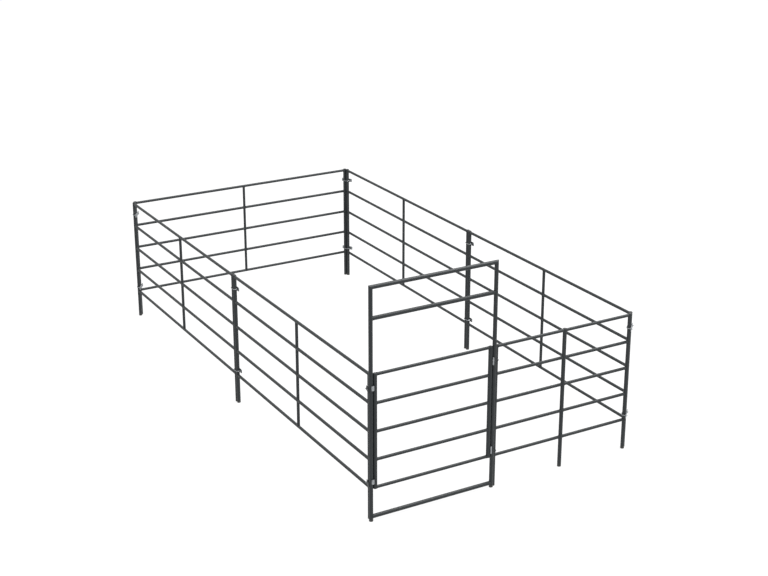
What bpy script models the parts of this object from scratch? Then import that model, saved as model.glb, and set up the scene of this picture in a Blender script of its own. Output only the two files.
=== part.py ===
"""Portable livestock stall: six round-tube panels, a walk-through gate frame and a hung gate.

Metres, +Z up. The origin is the centre of the foot of the gate frame's latch post, in the
stall's front-left corner. X runs along the front wall, Y from the front wall to the back one.
"""

import math

import bmesh
import bpy
from mathutils import Matrix, Vector

# Tubes of the panels
LEG_DIAMETER = 0.041
RAIL_DIAMETER = 0.032
STAY_DIAMETER = 0.032

# Layout of a full panel
PANEL_LEG_PITCH = 2.992
PANELS_PER_SIDE = 2
RAIL_COUNT = 5
RAIL_SPACING = 0.291
BOTTOM_RAIL_Z = 0.332
LEG_TOP_REVEAL = 0.004
LEG_END_CHAMFER = 0.003

# Neighbouring legs stand side by side with this gap. Across a corner, the line through the two
# legs is turned by these angles from the X axis
LEG_GAP = 0.0003
BACK_PAIR_TURN = math.radians(55.0)
FRONT_PAIR_TURN = math.radians(45.0)

# The side walls start this far behind the gate frame, and the left one this far inside it
SIDE_SET_BACK = 0.0505
LEFT_SET_IN = 0.016

# Front panel, which fills the front wall beside the gate
FRONT_MID_LEG_DIAMETER = 0.041

# Gate frame
FRAME_DIAMETER = 0.041
GATE_POST_PITCH = 1.363
BEAM_Z = 2.368
CROSSBAR_DROP = 0.302
SILL_Z = 0.046

# Gate leaf
STILE_DIAMETER = 0.041
GATE_RAIL_DIAMETER = 0.032
GATE_SIDE_GAP = 0.004
GATE_RAIL_COUNT = 5
GATE_RAIL_SPACING = 0.290
GATE_BOTTOM_RAIL_Z = 0.348
STILE_DOME = 0.009
STILE_REVEAL = 0.001

# Weld-on barrel hinges
HINGE_BARREL_DIAMETER = 0.018
HINGE_BARREL_LENGTH = 0.0385
HINGE_BARREL_FLOOR = 0.005
HINGE_PIN_DIAMETER = 0.010
HINGE_EDGE_CHAMFER = 0.0015
UPPER_HINGE_DROP = 0.142
LOWER_HINGE_RISE = 0.070

# Turn buttons that hold the gate shut
BUTTON_WIDTH = 0.028
BUTTON_LENGTH = 0.050
BUTTON_THICKNESS = 0.006
BUTTON_CORNER = 0.006
BUTTON_STILE_CLEARANCE = 0.0025
STUD_DIAMETER = 0.010
STUD_HEAD_DIAMETER = 0.020
STUD_HEAD_THICKNESS = 0.006
BOSS_DIAMETER = 0.018
BOSS_PROUD = 0.0035
UPPER_BUTTON_DROP = 0.113
LOWER_BUTTON_RISE = 0.085

# Round-bar stop in the notch between the latch post and the shut gate
STOP_DIAMETER = 0.010
STOP_LENGTH = 0.060

# Two-leg clamps: a U-bolt round both legs and a flat plate behind them
CLAMP_ROD_DIAMETER = 0.008
CLAMP_PLATE_LENGTH = 0.150
CLAMP_PLATE_HEIGHT = 0.044
CLAMP_PLATE_THICKNESS = 0.006
CLAMP_PLATE_CORNER = 0.006
THREAD_PROUD = 0.005
CLAMP_NUT_FLATS = 0.013
CLAMP_NUT_THICKNESS = 0.0065

# Heights of the clamps and ears, from the outer rails
CLAMP_DROP = 0.140
CLAMP_RISE = 0.055

# Ears that tie a frame post to the nearest panel leg, and their cross bolts
EAR_HEIGHT = 0.044
EAR_THICKNESS = 0.006
EAR_OVERHANG = 0.024
EAR_FOOT_WIDTH = 0.022
EAR_FOOT_DEPTH = 0.0065
EAR_BOLT_DIAMETER = 0.010
EAR_BOLT_HEAD_FLATS = 0.016
EAR_BOLT_HEAD_THICKNESS = 0.0064
EAR_NUT_THICKNESS = 0.008

# Clearances: seated faces, rods beside tubes, rods in holes
SEAT = 0.0003
ROD_CLEARANCE = 0.0005
HOLE_CLEARANCE = 0.0006

# Facets
TUBE_SIDES = 16
ROD_SIDES = 8
HOLE_SIDES = 8
BEND_STEPS = 3
DOME_STEPS = 3
SHARP_ANGLE = math.radians(35.0)

# Derived sizes
LEG_RADIUS = LEG_DIAMETER / 2
RAIL_RADIUS = RAIL_DIAMETER / 2
FRAME_RADIUS = FRAME_DIAMETER / 2
STILE_RADIUS = STILE_DIAMETER / 2
GATE_RAIL_RADIUS = GATE_RAIL_DIAMETER / 2
ROD_RADIUS = CLAMP_ROD_DIAMETER / 2
RAIL_HEIGHTS = [BOTTOM_RAIL_Z + RAIL_SPACING * step for step in range(RAIL_COUNT)]
LEG_HEIGHT = RAIL_HEIGHTS[-1] + RAIL_RADIUS + LEG_TOP_REVEAL
GATE_HEIGHTS = [GATE_BOTTOM_RAIL_Z + GATE_RAIL_SPACING * step for step in range(GATE_RAIL_COUNT)]
CLAMP_LEVELS = {
    "lower": RAIL_HEIGHTS[0] + CLAMP_RISE,
    "upper": RAIL_HEIGHTS[-1] - CLAMP_DROP,
}

# Two panel legs side by side, and the same pair set across a corner
LEG_PAIR_PITCH = LEG_DIAMETER + LEG_GAP
BACK_PAIR_X = LEG_PAIR_PITCH * math.cos(BACK_PAIR_TURN)
BACK_PAIR_Y = LEG_PAIR_PITCH * math.sin(BACK_PAIR_TURN)
FRONT_PAIR_X = LEG_PAIR_PITCH * math.cos(FRONT_PAIR_TURN)
FRONT_PAIR_Y = LEG_PAIR_PITCH * math.sin(FRONT_PAIR_TURN)

# Plan positions of the walls
FRAME_TO_LEG = FRAME_RADIUS + LEG_GAP + LEG_RADIUS
SIDE_STEP = PANEL_LEG_PITCH + LEG_PAIR_PITCH
SIDE_END_Y = SIDE_SET_BACK + PANELS_PER_SIDE * SIDE_STEP - LEG_PAIR_PITCH
BACK_LINE_Y = SIDE_END_Y + BACK_PAIR_Y
RIGHT_LINE_X = LEFT_SET_IN + PANEL_LEG_PITCH + 2 * BACK_PAIR_X
FRONT_LINE_Y = SIDE_SET_BACK - FRONT_PAIR_Y
FRONT_START_X = GATE_POST_PITCH + math.sqrt(FRAME_TO_LEG ** 2 - FRONT_LINE_Y ** 2)
FRONT_PANEL_PITCH = RIGHT_LINE_X - FRONT_PAIR_X - FRONT_START_X

# Gate leaf between the frame posts
LATCH_STILE_X = FRAME_RADIUS + GATE_SIDE_GAP + STILE_RADIUS
HINGE_STILE_X = GATE_POST_PITCH - LATCH_STILE_X

# Reach and direction of the ears, from each frame post to its panel leg
LATCH_EAR_REACH = math.hypot(LEFT_SET_IN, SIDE_SET_BACK)
LATCH_EAR_HEADING = math.atan2(SIDE_SET_BACK, LEFT_SET_IN)
HINGE_EAR_HEADING = math.atan2(FRONT_LINE_Y, FRONT_START_X - GATE_POST_PITCH)

QUARTER = math.radians(90.0)
X_AXIS = Vector((1.0, 0.0, 0.0))
Y_AXIS = Vector((0.0, 1.0, 0.0))
Z_AXIS = Vector((0.0, 0.0, 1.0))


def clear_scene():
    """Remove every object, so that the stall is all there is."""
    for item in list(bpy.data.objects):
        bpy.data.objects.remove(item, do_unlink=True)


def make_finish(name, colour, roughness, metallic):
    """Return a Principled material with a plain colour."""
    material = bpy.data.materials.new(name)
    material.use_nodes = True
    shader = material.node_tree.nodes["Principled BSDF"]
    shader.inputs["Base Color"].default_value = (*colour, 1.0)
    shader.inputs["Roughness"].default_value = roughness
    shader.inputs["Metallic"].default_value = metallic
    return material


def make_mesh(name, bm):
    """Turn a bmesh into a mesh with its normals outward, and free it."""
    bmesh.ops.recalc_face_normals(bm, faces=bm.faces[:])
    mesh = bpy.data.meshes.new(name)
    bm.to_mesh(mesh)
    bm.free()
    return mesh


def combine(name, body, others, operation):
    """Join the other shapes to a mesh, or cut them from it, and return the new mesh."""
    keep = bpy.data.objects.new(name, body)
    bpy.context.scene.collection.objects.link(keep)
    helpers = [keep]
    for index, other in enumerate(others):
        tool = bpy.data.objects.new(f"{name}_tool_{index}", other)
        bpy.context.scene.collection.objects.link(tool)
        tool.hide_render = True
        tool.display_type = "WIRE"
        step = keep.modifiers.new(f"{operation.lower()}_{index}", "BOOLEAN")
        step.operation = operation
        step.solver = "EXACT"
        step.object = tool
        helpers.append(tool)
    bpy.context.view_layer.update()
    shape = keep.evaluated_get(bpy.context.evaluated_depsgraph_get())
    result = bpy.data.meshes.new_from_object(shape)
    result.name = name
    for helper in helpers:
        bpy.data.objects.remove(helper, do_unlink=True)
    return result


def add_node(name, mesh, material, parent=None, location=(0.0, 0.0, 0.0), heading=0.0):
    """Place a mesh as a named object under its parent, turned about Z by its heading."""
    mesh.shade_smooth()
    mesh.set_sharp_from_angle(angle=SHARP_ANGLE)
    if not mesh.materials:
        mesh.materials.append(material)
    node = bpy.data.objects.new(name, mesh)
    bpy.context.scene.collection.objects.link(node)
    node.parent = parent
    node.location = location
    node.rotation_euler = (0.0, 0.0, heading)
    return node


def add_empty(name, location, heading=0.0):
    """Return an empty that carries a group of nodes, turned about Z by its heading."""
    empty = bpy.data.objects.new(name, None)
    bpy.context.scene.collection.objects.link(empty)
    empty.location = location
    empty.rotation_euler = (0.0, 0.0, heading)
    return empty


def square_end(chamfer=0.0):
    """End cut square; a chamfer pulls the rim in."""
    return {"reach": lambda across, up: 0.0, "chamfer": chamfer}


def coped_end(mate_radius):
    """End cut like a fish's mouth, to seat on a round tube that crosses it."""
    seat_radius = mate_radius + SEAT

    def reach(across, up):
        return seat_radius - math.sqrt(seat_radius ** 2 - across ** 2)

    return {"reach": reach, "chamfer": 0.0}


def mitred_end(sign):
    """End cut at 45 degrees, its long side up for sign 1 and down for sign -1."""
    return {"reach": lambda across, up: sign * up, "chamfer": 0.0}


def axes_from(start, end, side):
    """Matrix whose X runs from start to end and whose Y points near side."""
    along = (Vector(end) - Vector(start)).normalized()
    up = along.cross(Vector(side)).normalized()
    across = up.cross(along)
    matrix = Matrix((along, across, up)).transposed().to_4x4()
    matrix.translation = Vector(start)
    return matrix


def add_tube(bm, start, end, radius, side, cuts, sides=TUBE_SIDES, phase=0.0):
    """Add one closed tube between two points; each end reaches out as its cut asks.

    Across the tube, side is the direction in which a coped end's mouth opens. Facets pair
    up about that plane, so the strips that close a mouth run along the crossing tube.
    """
    matrix = axes_from(start, end, side)
    length = (Vector(end) - Vector(start)).length
    rings = []
    for cut, place, outward in ((cuts[0], 0.0, -1.0), (cuts[1], length, 1.0)):
        steps = [(radius, cut["chamfer"])]
        if cut["chamfer"] > 0.0:
            steps.insert(0, (radius - cut["chamfer"], 0.0))
        if outward > 0.0:
            steps.reverse()
        for ring_radius, inset in steps:
            ring = []
            for index in range(sides):
                turn = 2.0 * math.pi * (index + phase) / sides
                across = ring_radius * math.cos(turn)
                up = ring_radius * math.sin(turn)
                along = place + outward * (cut["reach"](across, up) - inset)
                ring.append(bm.verts.new(matrix @ Vector((along, across, up))))
            rings.append(ring)
    for first, second in zip(rings, rings[1:]):
        bridge(bm, first, second)
    close = close_in_strips if phase == 0.0 else close_flat
    close(bm, rings[0])
    close(bm, rings[-1])


def bridge(bm, first, second):
    """Join two rings of the same count with a band of faces."""
    count = len(first)
    for index in range(count):
        after = (index + 1) % count
        bm.faces.new((first[index], first[after], second[after], second[index]))


def close_flat(bm, ring):
    """Close a flat ring with one face."""
    bm.faces.new(ring)


def close_in_strips(bm, ring):
    """Close a ring with strips that run along the crossing tube."""
    count = len(ring)
    half = count // 2
    bm.faces.new((ring[0], ring[1], ring[count - 1]))
    for index in range(1, half - 1):
        strip = (ring[index], ring[index + 1], ring[count - index - 1], ring[count - index])
        bm.faces.new(strip)
    bm.faces.new((ring[half - 1], ring[half], ring[half + 1]))


def add_rod(bm, points, radius, normal, sides=ROD_SIDES):
    """Sweep a round rod along a flat path whose plane has the given normal."""
    path = [Vector(point) for point in points]
    plane = Vector(normal).normalized()
    rings = []
    for index, point in enumerate(path):
        before = path[max(index - 1, 0)]
        after = path[min(index + 1, len(path) - 1)]
        into = (point - before).normalized() if index else (after - point).normalized()
        out = (after - point).normalized() if index < len(path) - 1 else into
        along = (into + out).normalized()
        stretch = 1.0 / along.dot(into)
        across = along.cross(plane)
        ring = []
        for step in range(sides):
            turn = 2.0 * math.pi * (step + 0.5) / sides
            offset = across * (radius * stretch * math.cos(turn))
            offset += plane * (radius * math.sin(turn))
            ring.append(bm.verts.new(point + offset))
        rings.append(ring)
    for first, second in zip(rings, rings[1:]):
        bridge(bm, first, second)
    bm.faces.new(rings[0])
    bm.faces.new(rings[-1])


def circle_points(centre, radius, sides=HOLE_SIDES):
    """Corners of a many-sided circle."""
    turns = [2.0 * math.pi * (step + 0.5) / sides for step in range(sides)]
    return [(centre[0] + radius * math.cos(turn), centre[1] + radius * math.sin(turn)) for turn in turns]


def add_plate(bm, outline, holes, thickness, matrix):
    """Add a flat plate: an outline in the matrix's XY plane, thickened along its Z.

    Each hole is (x, y, radius).
    """
    work = bmesh.new()
    loops = [outline] + [circle_points((x, y), radius) for x, y, radius in holes]
    edges = []
    for loop in loops:
        corners = [work.verts.new((x, y, 0.0)) for x, y in loop]
        for index, corner in enumerate(corners):
            edges.append(work.edges.new((corner, corners[(index + 1) % len(corners)])))
    bmesh.ops.triangle_fill(work, edges=edges, use_beauty=True)
    lifted = bmesh.ops.extrude_face_region(work, geom=work.faces[:])
    moved = [item for item in lifted["geom"] if isinstance(item, bmesh.types.BMVert)]
    bmesh.ops.translate(work, verts=moved, vec=(0.0, 0.0, thickness))
    bmesh.ops.transform(work, matrix=matrix, verts=work.verts[:])
    bmesh.ops.recalc_face_normals(work, faces=work.faces[:])
    copy_into(bm, work)


def copy_into(bm, work):
    """Copy a finished shape into another bmesh, and free it."""
    twin = {vert: bm.verts.new(vert.co) for vert in work.verts}
    for face in work.faces:
        bm.faces.new([twin[vert] for vert in face.verts])
    work.free()


def add_turned(bm, profile, matrix=None, sides=TUBE_SIDES):
    """Add a turned solid: a profile of (radius, height) round the matrix's Z axis."""
    place = matrix if matrix is not None else Matrix.Identity(4)
    rings = []
    for radius, height in profile:
        if radius == 0.0:
            rings.append([bm.verts.new(place @ Vector((0.0, 0.0, height)))])
            continue
        ring = []
        for x, y in circle_points((0.0, 0.0), radius, sides):
            ring.append(bm.verts.new(place @ Vector((x, y, height))))
        rings.append(ring)
    for first, second in zip(rings, rings[1:]):
        if len(first) > 1 and len(second) > 1:
            bridge(bm, first, second)
            continue
        tip, ring = (first[0], second) if len(first) == 1 else (second[0], first)
        for index in range(sides):
            bm.faces.new((tip, ring[index], ring[(index + 1) % sides]))


def rounded_rectangle(length, height, corner, centre=(0.0, 0.0)):
    """Outline of a rectangle with its corners cut in two steps."""
    points = []
    for turn in range(4):
        sign_x = 1.0 if turn in (0, 3) else -1.0
        sign_y = 1.0 if turn in (0, 1) else -1.0
        middle_x = centre[0] + sign_x * (length / 2 - corner)
        middle_y = centre[1] + sign_y * (height / 2 - corner)
        for step in range(3):
            angle = QUARTER * (turn + step / 2)
            points.append((middle_x + corner * math.cos(angle), middle_y + corner * math.sin(angle)))
    return points


def hexagon(flats):
    """Outline of a hexagon by its width across flats."""
    corner = flats / math.sqrt(3)
    turns = [math.radians(60.0 * step) for step in range(6)]
    return [(corner * math.cos(turn), corner * math.sin(turn)) for turn in turns]


def leg_mesh(name, height):
    """One straight leg with chamfered ends, its foot at the origin."""
    bm = bmesh.new()
    cut = square_end(LEG_END_CHAMFER)
    add_tube(bm, (0, 0, 0), (0, 0, height), LEG_RADIUS, Y_AXIS, (cut, cut))
    return make_mesh(name, bm)


def rails_mesh(name, pitch):
    """The rails of one panel between its legs, coped at both ends."""
    bm = bmesh.new()
    for height in RAIL_HEIGHTS:
        start = (LEG_RADIUS + SEAT, 0.0, height)
        end = (pitch - LEG_RADIUS - SEAT, 0.0, height)
        cuts = (coped_end(LEG_RADIUS), coped_end(LEG_RADIUS))
        add_tube(bm, start, end, RAIL_RADIUS, Y_AXIS, cuts)
    return make_mesh(name, bm)


def infill_mesh(name, pitch):
    """Rails welded across one upright stay at the middle of the panel."""
    stay = bmesh.new()
    start = (pitch / 2, 0.0, RAIL_HEIGHTS[0])
    end = (pitch / 2, 0.0, RAIL_HEIGHTS[-1])
    cut = square_end()
    add_tube(stay, start, end, STAY_DIAMETER / 2, Y_AXIS, (cut, cut), phase=0.5)
    return combine(name, rails_mesh(f"{name}_rails", pitch), [make_mesh(f"{name}_stay", stay)], "UNION")


def front_infill_mesh(name, pitch):
    """Rails welded into a full-height leg at the middle of the front panel."""
    leg = bmesh.new()
    cut = square_end(LEG_END_CHAMFER)
    end = (pitch / 2, 0.0, LEG_HEIGHT)
    add_tube(leg, (pitch / 2, 0.0, 0.0), end, FRONT_MID_LEG_DIAMETER / 2, Y_AXIS, (cut, cut))
    return combine(name, rails_mesh(f"{name}_rails", pitch), [make_mesh(f"{name}_leg", leg)], "UNION")


def drilled(name, mesh, direction):
    """Cut the two cross-bolt holes through a leg whose foot is at the origin."""
    drills = []
    for label, level in CLAMP_LEVELS.items():
        bm = bmesh.new()
        reach = Vector((math.cos(direction), math.sin(direction), 0.0)) * LEG_DIAMETER
        centre = Vector((0.0, 0.0, level))
        radius = EAR_BOLT_DIAMETER / 2 + HOLE_CLEARANCE
        cuts = (square_end(), square_end())
        add_tube(bm, centre - reach, centre + reach, radius, Z_AXIS, cuts, HOLE_SIDES, 0.5)
        drills.append(make_mesh(f"{name}_{label}_drill", bm))
    return combine(name, mesh, drills, "DIFFERENCE")


def build_panels(material):
    """Six panels: two along each side, one across the back, and one beside the gate.

    Every panel lies along its own X; the two legs beside the frame posts are drilled square
    to the ears, as seen from their own panel.
    """
    leg = leg_mesh("panel_leg", LEG_HEIGHT)
    infill = infill_mesh("panel_infill", PANEL_LEG_PITCH)
    side_leg = drilled("drilled_side_leg", leg_mesh("side_leg", LEG_HEIGHT), LATCH_EAR_HEADING)
    front_leg = drilled("drilled_front_leg", leg_mesh("front_leg", LEG_HEIGHT), HINGE_EAR_HEADING + QUARTER)
    front_infill = front_infill_mesh("front_infill", FRONT_PANEL_PITCH)
    labels = ["front", "rear"] + [f"extra_{index}" for index in range(PANELS_PER_SIDE - 2)]
    places = []
    for side, line_x in (("left", LEFT_SET_IN), ("right", RIGHT_LINE_X)):
        for index in range(PANELS_PER_SIDE):
            near = side_leg if (side, index) == ("left", 0) else leg
            foot = (line_x, SIDE_SET_BACK + index * SIDE_STEP, 0.0)
            places.append((f"{side}_{labels[index]}_panel", foot, QUARTER, PANEL_LEG_PITCH, near, infill))
    back_foot = (LEFT_SET_IN + BACK_PAIR_X, BACK_LINE_Y, 0.0)
    places.append(("back_panel", back_foot, 0.0, PANEL_LEG_PITCH, leg, infill))
    front_foot = (FRONT_START_X, FRONT_LINE_Y, 0.0)
    places.append(("front_panel", front_foot, 0.0, FRONT_PANEL_PITCH, front_leg, front_infill))
    for name, foot, heading, pitch, near, rails in places:
        group = add_empty(f"{name}_place", foot, heading)
        add_node(f"{name}_near_leg", near, material, group)
        add_node(f"{name}_far_leg", leg, material, group, (pitch, 0.0, 0.0))
        add_node(f"{name}_infill", rails, material, group)


def ear_mesh(level, heading, reach):
    """Flat ear with a foot that is welded to a frame post, drilled for its cross bolt.

    In plan, X runs from the post to the panel leg and the ear passes beside the leg.
    """
    inner = max(FRAME_RADIUS, LEG_RADIUS) + SEAT
    outer = inner + EAR_THICKNESS
    foot = FRAME_RADIUS - EAR_FOOT_DEPTH
    half_foot = EAR_FOOT_WIDTH / 2
    outline = [
        (-half_foot, foot),
        (half_foot - EAR_THICKNESS / 2, foot),
        (half_foot, inner),
        (reach + EAR_OVERHANG, inner),
        (reach + EAR_OVERHANG, outer),
        (-half_foot, outer),
    ]
    bm = bmesh.new()
    turned = Matrix.Rotation(heading, 4, "Z")
    add_plate(bm, outline, [], EAR_HEIGHT, turned @ Matrix.Translation((0, 0, level - EAR_HEIGHT / 2)))
    drill = bmesh.new()
    radius = EAR_BOLT_DIAMETER / 2 + HOLE_CLEARANCE
    start = turned @ Vector((reach, inner - EAR_THICKNESS, level))
    end = turned @ Vector((reach, outer + EAR_THICKNESS, level))
    add_tube(drill, start, end, radius, Z_AXIS, (square_end(), square_end()), HOLE_SIDES, 0.5)
    return combine("ear", make_mesh("ear_blank", bm), [make_mesh("ear_drill", drill)], "DIFFERENCE")


def post_mesh(name, inward, heading, reach):
    """Frame post mitred at the top, with its two welded ears."""
    bm = bmesh.new()
    cuts = (square_end(LEG_END_CHAMFER), mitred_end(-1.0))
    top = BEAM_Z - SEAT / math.sqrt(2)
    add_tube(bm, (0, 0, 0), (0, 0, top), FRAME_RADIUS, inward.cross(Z_AXIS), cuts)
    ears = [ear_mesh(level, heading, reach) for level in CLAMP_LEVELS.values()]
    return combine(name, make_mesh(f"{name}_tube", bm), ears, "UNION")


def build_gate_frame(material):
    """Walk-through frame: two tall posts mitred to a beam, a crossbar and a ground sill."""
    latch_post = post_mesh("latch_post", X_AXIS, LATCH_EAR_HEADING, LATCH_EAR_REACH)
    latch_post = combine("latch_post", latch_post, boss_meshes(), "UNION")
    add_node("gate_latch_post", latch_post, material)
    hinge_post = post_mesh("hinge_post", -X_AXIS, HINGE_EAR_HEADING, FRAME_TO_LEG)
    add_node("gate_hinge_post", hinge_post, material, None, (GATE_POST_PITCH, 0.0, 0.0))
    inset = SEAT / math.sqrt(2)
    bm = bmesh.new()
    end = (GATE_POST_PITCH - inset, 0.0, 0.0)
    add_tube(bm, (inset, 0.0, 0.0), end, FRAME_RADIUS, Y_AXIS, (mitred_end(1.0), mitred_end(1.0)))
    add_node("gate_frame_beam", make_mesh("beam", bm), material, None, (0.0, 0.0, BEAM_Z))
    crosspieces = (("gate_frame_crossbar", BEAM_Z - CROSSBAR_DROP), ("gate_frame_sill", SILL_Z))
    for name, height in crosspieces:
        bm = bmesh.new()
        start = (FRAME_RADIUS + SEAT, 0.0, 0.0)
        end = (GATE_POST_PITCH - FRAME_RADIUS - SEAT, 0.0, 0.0)
        cuts = (coped_end(FRAME_RADIUS), coped_end(FRAME_RADIUS))
        add_tube(bm, start, end, FRAME_RADIUS, Y_AXIS, cuts)
        add_node(name, make_mesh(name, bm), material, None, (0.0, 0.0, height))


def hinge_axis():
    """Plan place of the hinge pins: the barrels nest in front, between hinge post and stile."""
    barrel = HINGE_BARREL_DIAMETER / 2
    to_post = FRAME_RADIUS + SEAT + barrel
    to_stile = STILE_RADIUS + SEAT + barrel
    spacing = GATE_POST_PITCH - HINGE_STILE_X
    from_post = (to_post ** 2 - to_stile ** 2 + spacing ** 2) / (2.0 * spacing)
    depth = math.sqrt(to_post ** 2 - from_post ** 2)
    return GATE_POST_PITCH - from_post, -depth


def stile_profile():
    """Profile of a gate stile whose closed ends are domed over the outer rails."""
    low = GATE_HEIGHTS[0] - GATE_RAIL_RADIUS - STILE_REVEAL
    high = GATE_HEIGHTS[-1] + GATE_RAIL_RADIUS + STILE_REVEAL
    curve = []
    for step in range(1, DOME_STEPS + 1):
        turn = QUARTER * step / DOME_STEPS
        curve.append((STILE_RADIUS * math.sin(turn), STILE_DOME * (1.0 - math.cos(turn))))
    below = [(radius, low + rise) for radius, rise in curve]
    above = [(radius, high - rise) for radius, rise in reversed(curve)]
    return [(0.0, low)] + below + above + [(0.0, high)]


def build_gate_leaf(material, hang):
    """Hung gate, welded from five rails and two domed stiles, carried on the hinge axis."""
    origin_x, origin_y, _ = hang.location
    stiles = []
    for place_x in (LATCH_STILE_X, HINGE_STILE_X):
        bm = bmesh.new()
        add_turned(bm, stile_profile(), Matrix.Translation((place_x - origin_x, -origin_y, 0.0)))
        stiles.append(make_mesh("stile", bm))
    bm = bmesh.new()
    for height in GATE_HEIGHTS:
        start = (LATCH_STILE_X - origin_x, -origin_y, height)
        end = (HINGE_STILE_X - origin_x, -origin_y, height)
        add_tube(bm, start, end, GATE_RAIL_RADIUS, Y_AXIS, (square_end(), square_end()))
    leaf = combine("gate_leaf", make_mesh("gate_leaf_rails", bm), stiles, "UNION")
    add_node("gate_leaf", leaf, material, hang)


def barrel_profile(bore_radius):
    """Profile of a hinge barrel: a round body with a blind bore, its open end at height 0."""
    radius = HINGE_BARREL_DIAMETER / 2
    edge = HINGE_EDGE_CHAMFER
    return [
        (0.0, -HINGE_BARREL_LENGTH),
        (radius - edge, -HINGE_BARREL_LENGTH),
        (radius, -HINGE_BARREL_LENGTH + edge),
        (radius, 0.0),
        (bore_radius, 0.0),
        (bore_radius, -HINGE_BARREL_LENGTH + HINGE_BARREL_FLOOR),
        (0.0, -HINGE_BARREL_LENGTH + HINGE_BARREL_FLOOR),
    ]


def build_hinges(material, hang):
    """Two barrel hinges: a barrel on the post, one on the gate above it, and a loose pin."""
    axis_x, axis_y, _ = hang.location
    levels = {
        "lower": GATE_HEIGHTS[0] + LOWER_HINGE_RISE,
        "upper": GATE_HEIGHTS[-1] - UPPER_HINGE_DROP,
    }
    pin_radius = HINGE_PIN_DIAMETER / 2
    profile = barrel_profile(pin_radius + SEAT)
    post_barrel = bmesh.new()
    add_turned(post_barrel, profile)
    post_barrel_mesh = make_mesh("post_barrel", post_barrel)
    gate_barrel = bmesh.new()
    add_turned(gate_barrel, profile, Matrix.Rotation(2.0 * QUARTER, 4, "X"))
    gate_barrel_mesh = make_mesh("gate_barrel", gate_barrel)
    half_pin = HINGE_BARREL_LENGTH - HINGE_BARREL_FLOOR + SEAT / 2 - SEAT
    edge = HINGE_EDGE_CHAMFER / 2
    pin = bmesh.new()
    pin_profile = [(0.0, -half_pin), (pin_radius - edge, -half_pin), (pin_radius, -half_pin + edge)]
    pin_profile += [(radius, -height) for radius, height in reversed(pin_profile)]
    add_turned(pin, pin_profile)
    pin_mesh = make_mesh("hinge_pin", pin)
    for label, level in levels.items():
        place = (axis_x, axis_y, level - SEAT / 2)
        add_node(f"{label}_hinge_post_barrel", post_barrel_mesh, material, None, place)
        add_node(f"{label}_hinge_gate_barrel", gate_barrel_mesh, material, hang, (0, 0, level + SEAT / 2))
        add_node(f"{label}_hinge_pin", pin_mesh, material, None, (axis_x, axis_y, level))


def button_pivot():
    """Where the turn buttons pivot: (x, y of the boss's front face, heights by label)."""
    place_x = FRAME_RADIUS + GATE_SIDE_GAP - BUTTON_STILE_CLEARANCE - BUTTON_WIDTH / 2
    levels = {
        "lower": GATE_HEIGHTS[0] + LOWER_BUTTON_RISE,
        "upper": GATE_HEIGHTS[-1] - UPPER_BUTTON_DROP,
    }
    return place_x, -(FRAME_RADIUS + BOSS_PROUD), levels


def boss_meshes():
    """Round bosses on the latch post's front, which carry the turn buttons."""
    place_x, front_y, levels = button_pivot()
    bosses = []
    for label, level in levels.items():
        bm = bmesh.new()
        cuts = (square_end(), square_end())
        add_tube(bm, (place_x, front_y, level), (place_x, 0.0, level), BOSS_DIAMETER / 2, X_AXIS, cuts)
        bosses.append(make_mesh(f"{label}_boss", bm))
    return bosses


def build_turn_buttons(material):
    """Two turn buttons on the latch post: each hangs clear, and turns across the gate's stile."""
    place_x, front_y, levels = button_pivot()
    facing = Matrix.Rotation(QUARTER, 4, "X")
    button = bmesh.new()
    drop = BUTTON_LENGTH / 2 - BUTTON_WIDTH / 2
    outline = rounded_rectangle(BUTTON_WIDTH, BUTTON_LENGTH, BUTTON_CORNER, (0.0, -drop))
    holes = [(0.0, 0.0, STUD_DIAMETER / 2 + HOLE_CLEARANCE)]
    add_plate(button, outline, holes, BUTTON_THICKNESS, Matrix.Translation((0.0, -SEAT, 0.0)) @ facing)
    button_mesh = make_mesh("turn_button", button)
    plate_front = SEAT + BUTTON_THICKNESS + SEAT
    head_front = plate_front + STUD_HEAD_THICKNESS
    head = STUD_HEAD_DIAMETER / 2
    edge = STUD_HEAD_THICKNESS / 4
    stud = bmesh.new()
    profile = [
        (0.0, SEAT),
        (STUD_DIAMETER / 2, SEAT),
        (STUD_DIAMETER / 2, plate_front),
        (head, plate_front),
        (head, head_front - edge),
        (head - edge, head_front),
        (0.0, head_front),
    ]
    add_turned(stud, profile, facing)
    stud_mesh = make_mesh("button_stud", stud)
    for label, level in levels.items():
        pivot = add_empty(f"{label}_button_pivot", (place_x, front_y, level))
        add_node(f"{label}_turn_button", button_mesh, material, pivot)
        add_node(f"{label}_button_stud", stud_mesh, material, pivot)


def build_gate_stop(material):
    """Short round bar welded behind the latch post, which the shut gate's stile meets."""
    radius = STOP_DIAMETER / 2
    to_post = FRAME_RADIUS + SEAT + radius
    to_stile = STILE_RADIUS + SEAT + radius
    place_x = (to_post ** 2 - to_stile ** 2 + LATCH_STILE_X ** 2) / (2.0 * LATCH_STILE_X)
    place_y = math.sqrt(to_post ** 2 - place_x ** 2)
    level = (GATE_HEIGHTS[0] + GATE_HEIGHTS[-1]) / 2
    bm = bmesh.new()
    cuts = (square_end(), square_end())
    start = (0.0, 0.0, -STOP_LENGTH / 2)
    end = (0.0, 0.0, STOP_LENGTH / 2)
    add_tube(bm, start, end, radius, Y_AXIS, cuts)
    add_node("gate_stop", make_mesh("gate_stop", bm), material, None, (place_x, place_y, level))


def bend_points(centre, radius, start_angle, end_angle):
    """Corners of a bend made of straight steps that all touch its circle from outside."""
    step_angle = math.radians(end_angle - start_angle) / BEND_STEPS
    outer = radius / math.cos(step_angle / 2)
    points = []
    for step in range(BEND_STEPS):
        turn = math.radians(start_angle) + step_angle * (step + 0.5)
        points.append((centre + outer * math.cos(turn), outer * math.sin(turn), 0.0))
    return points


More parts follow.
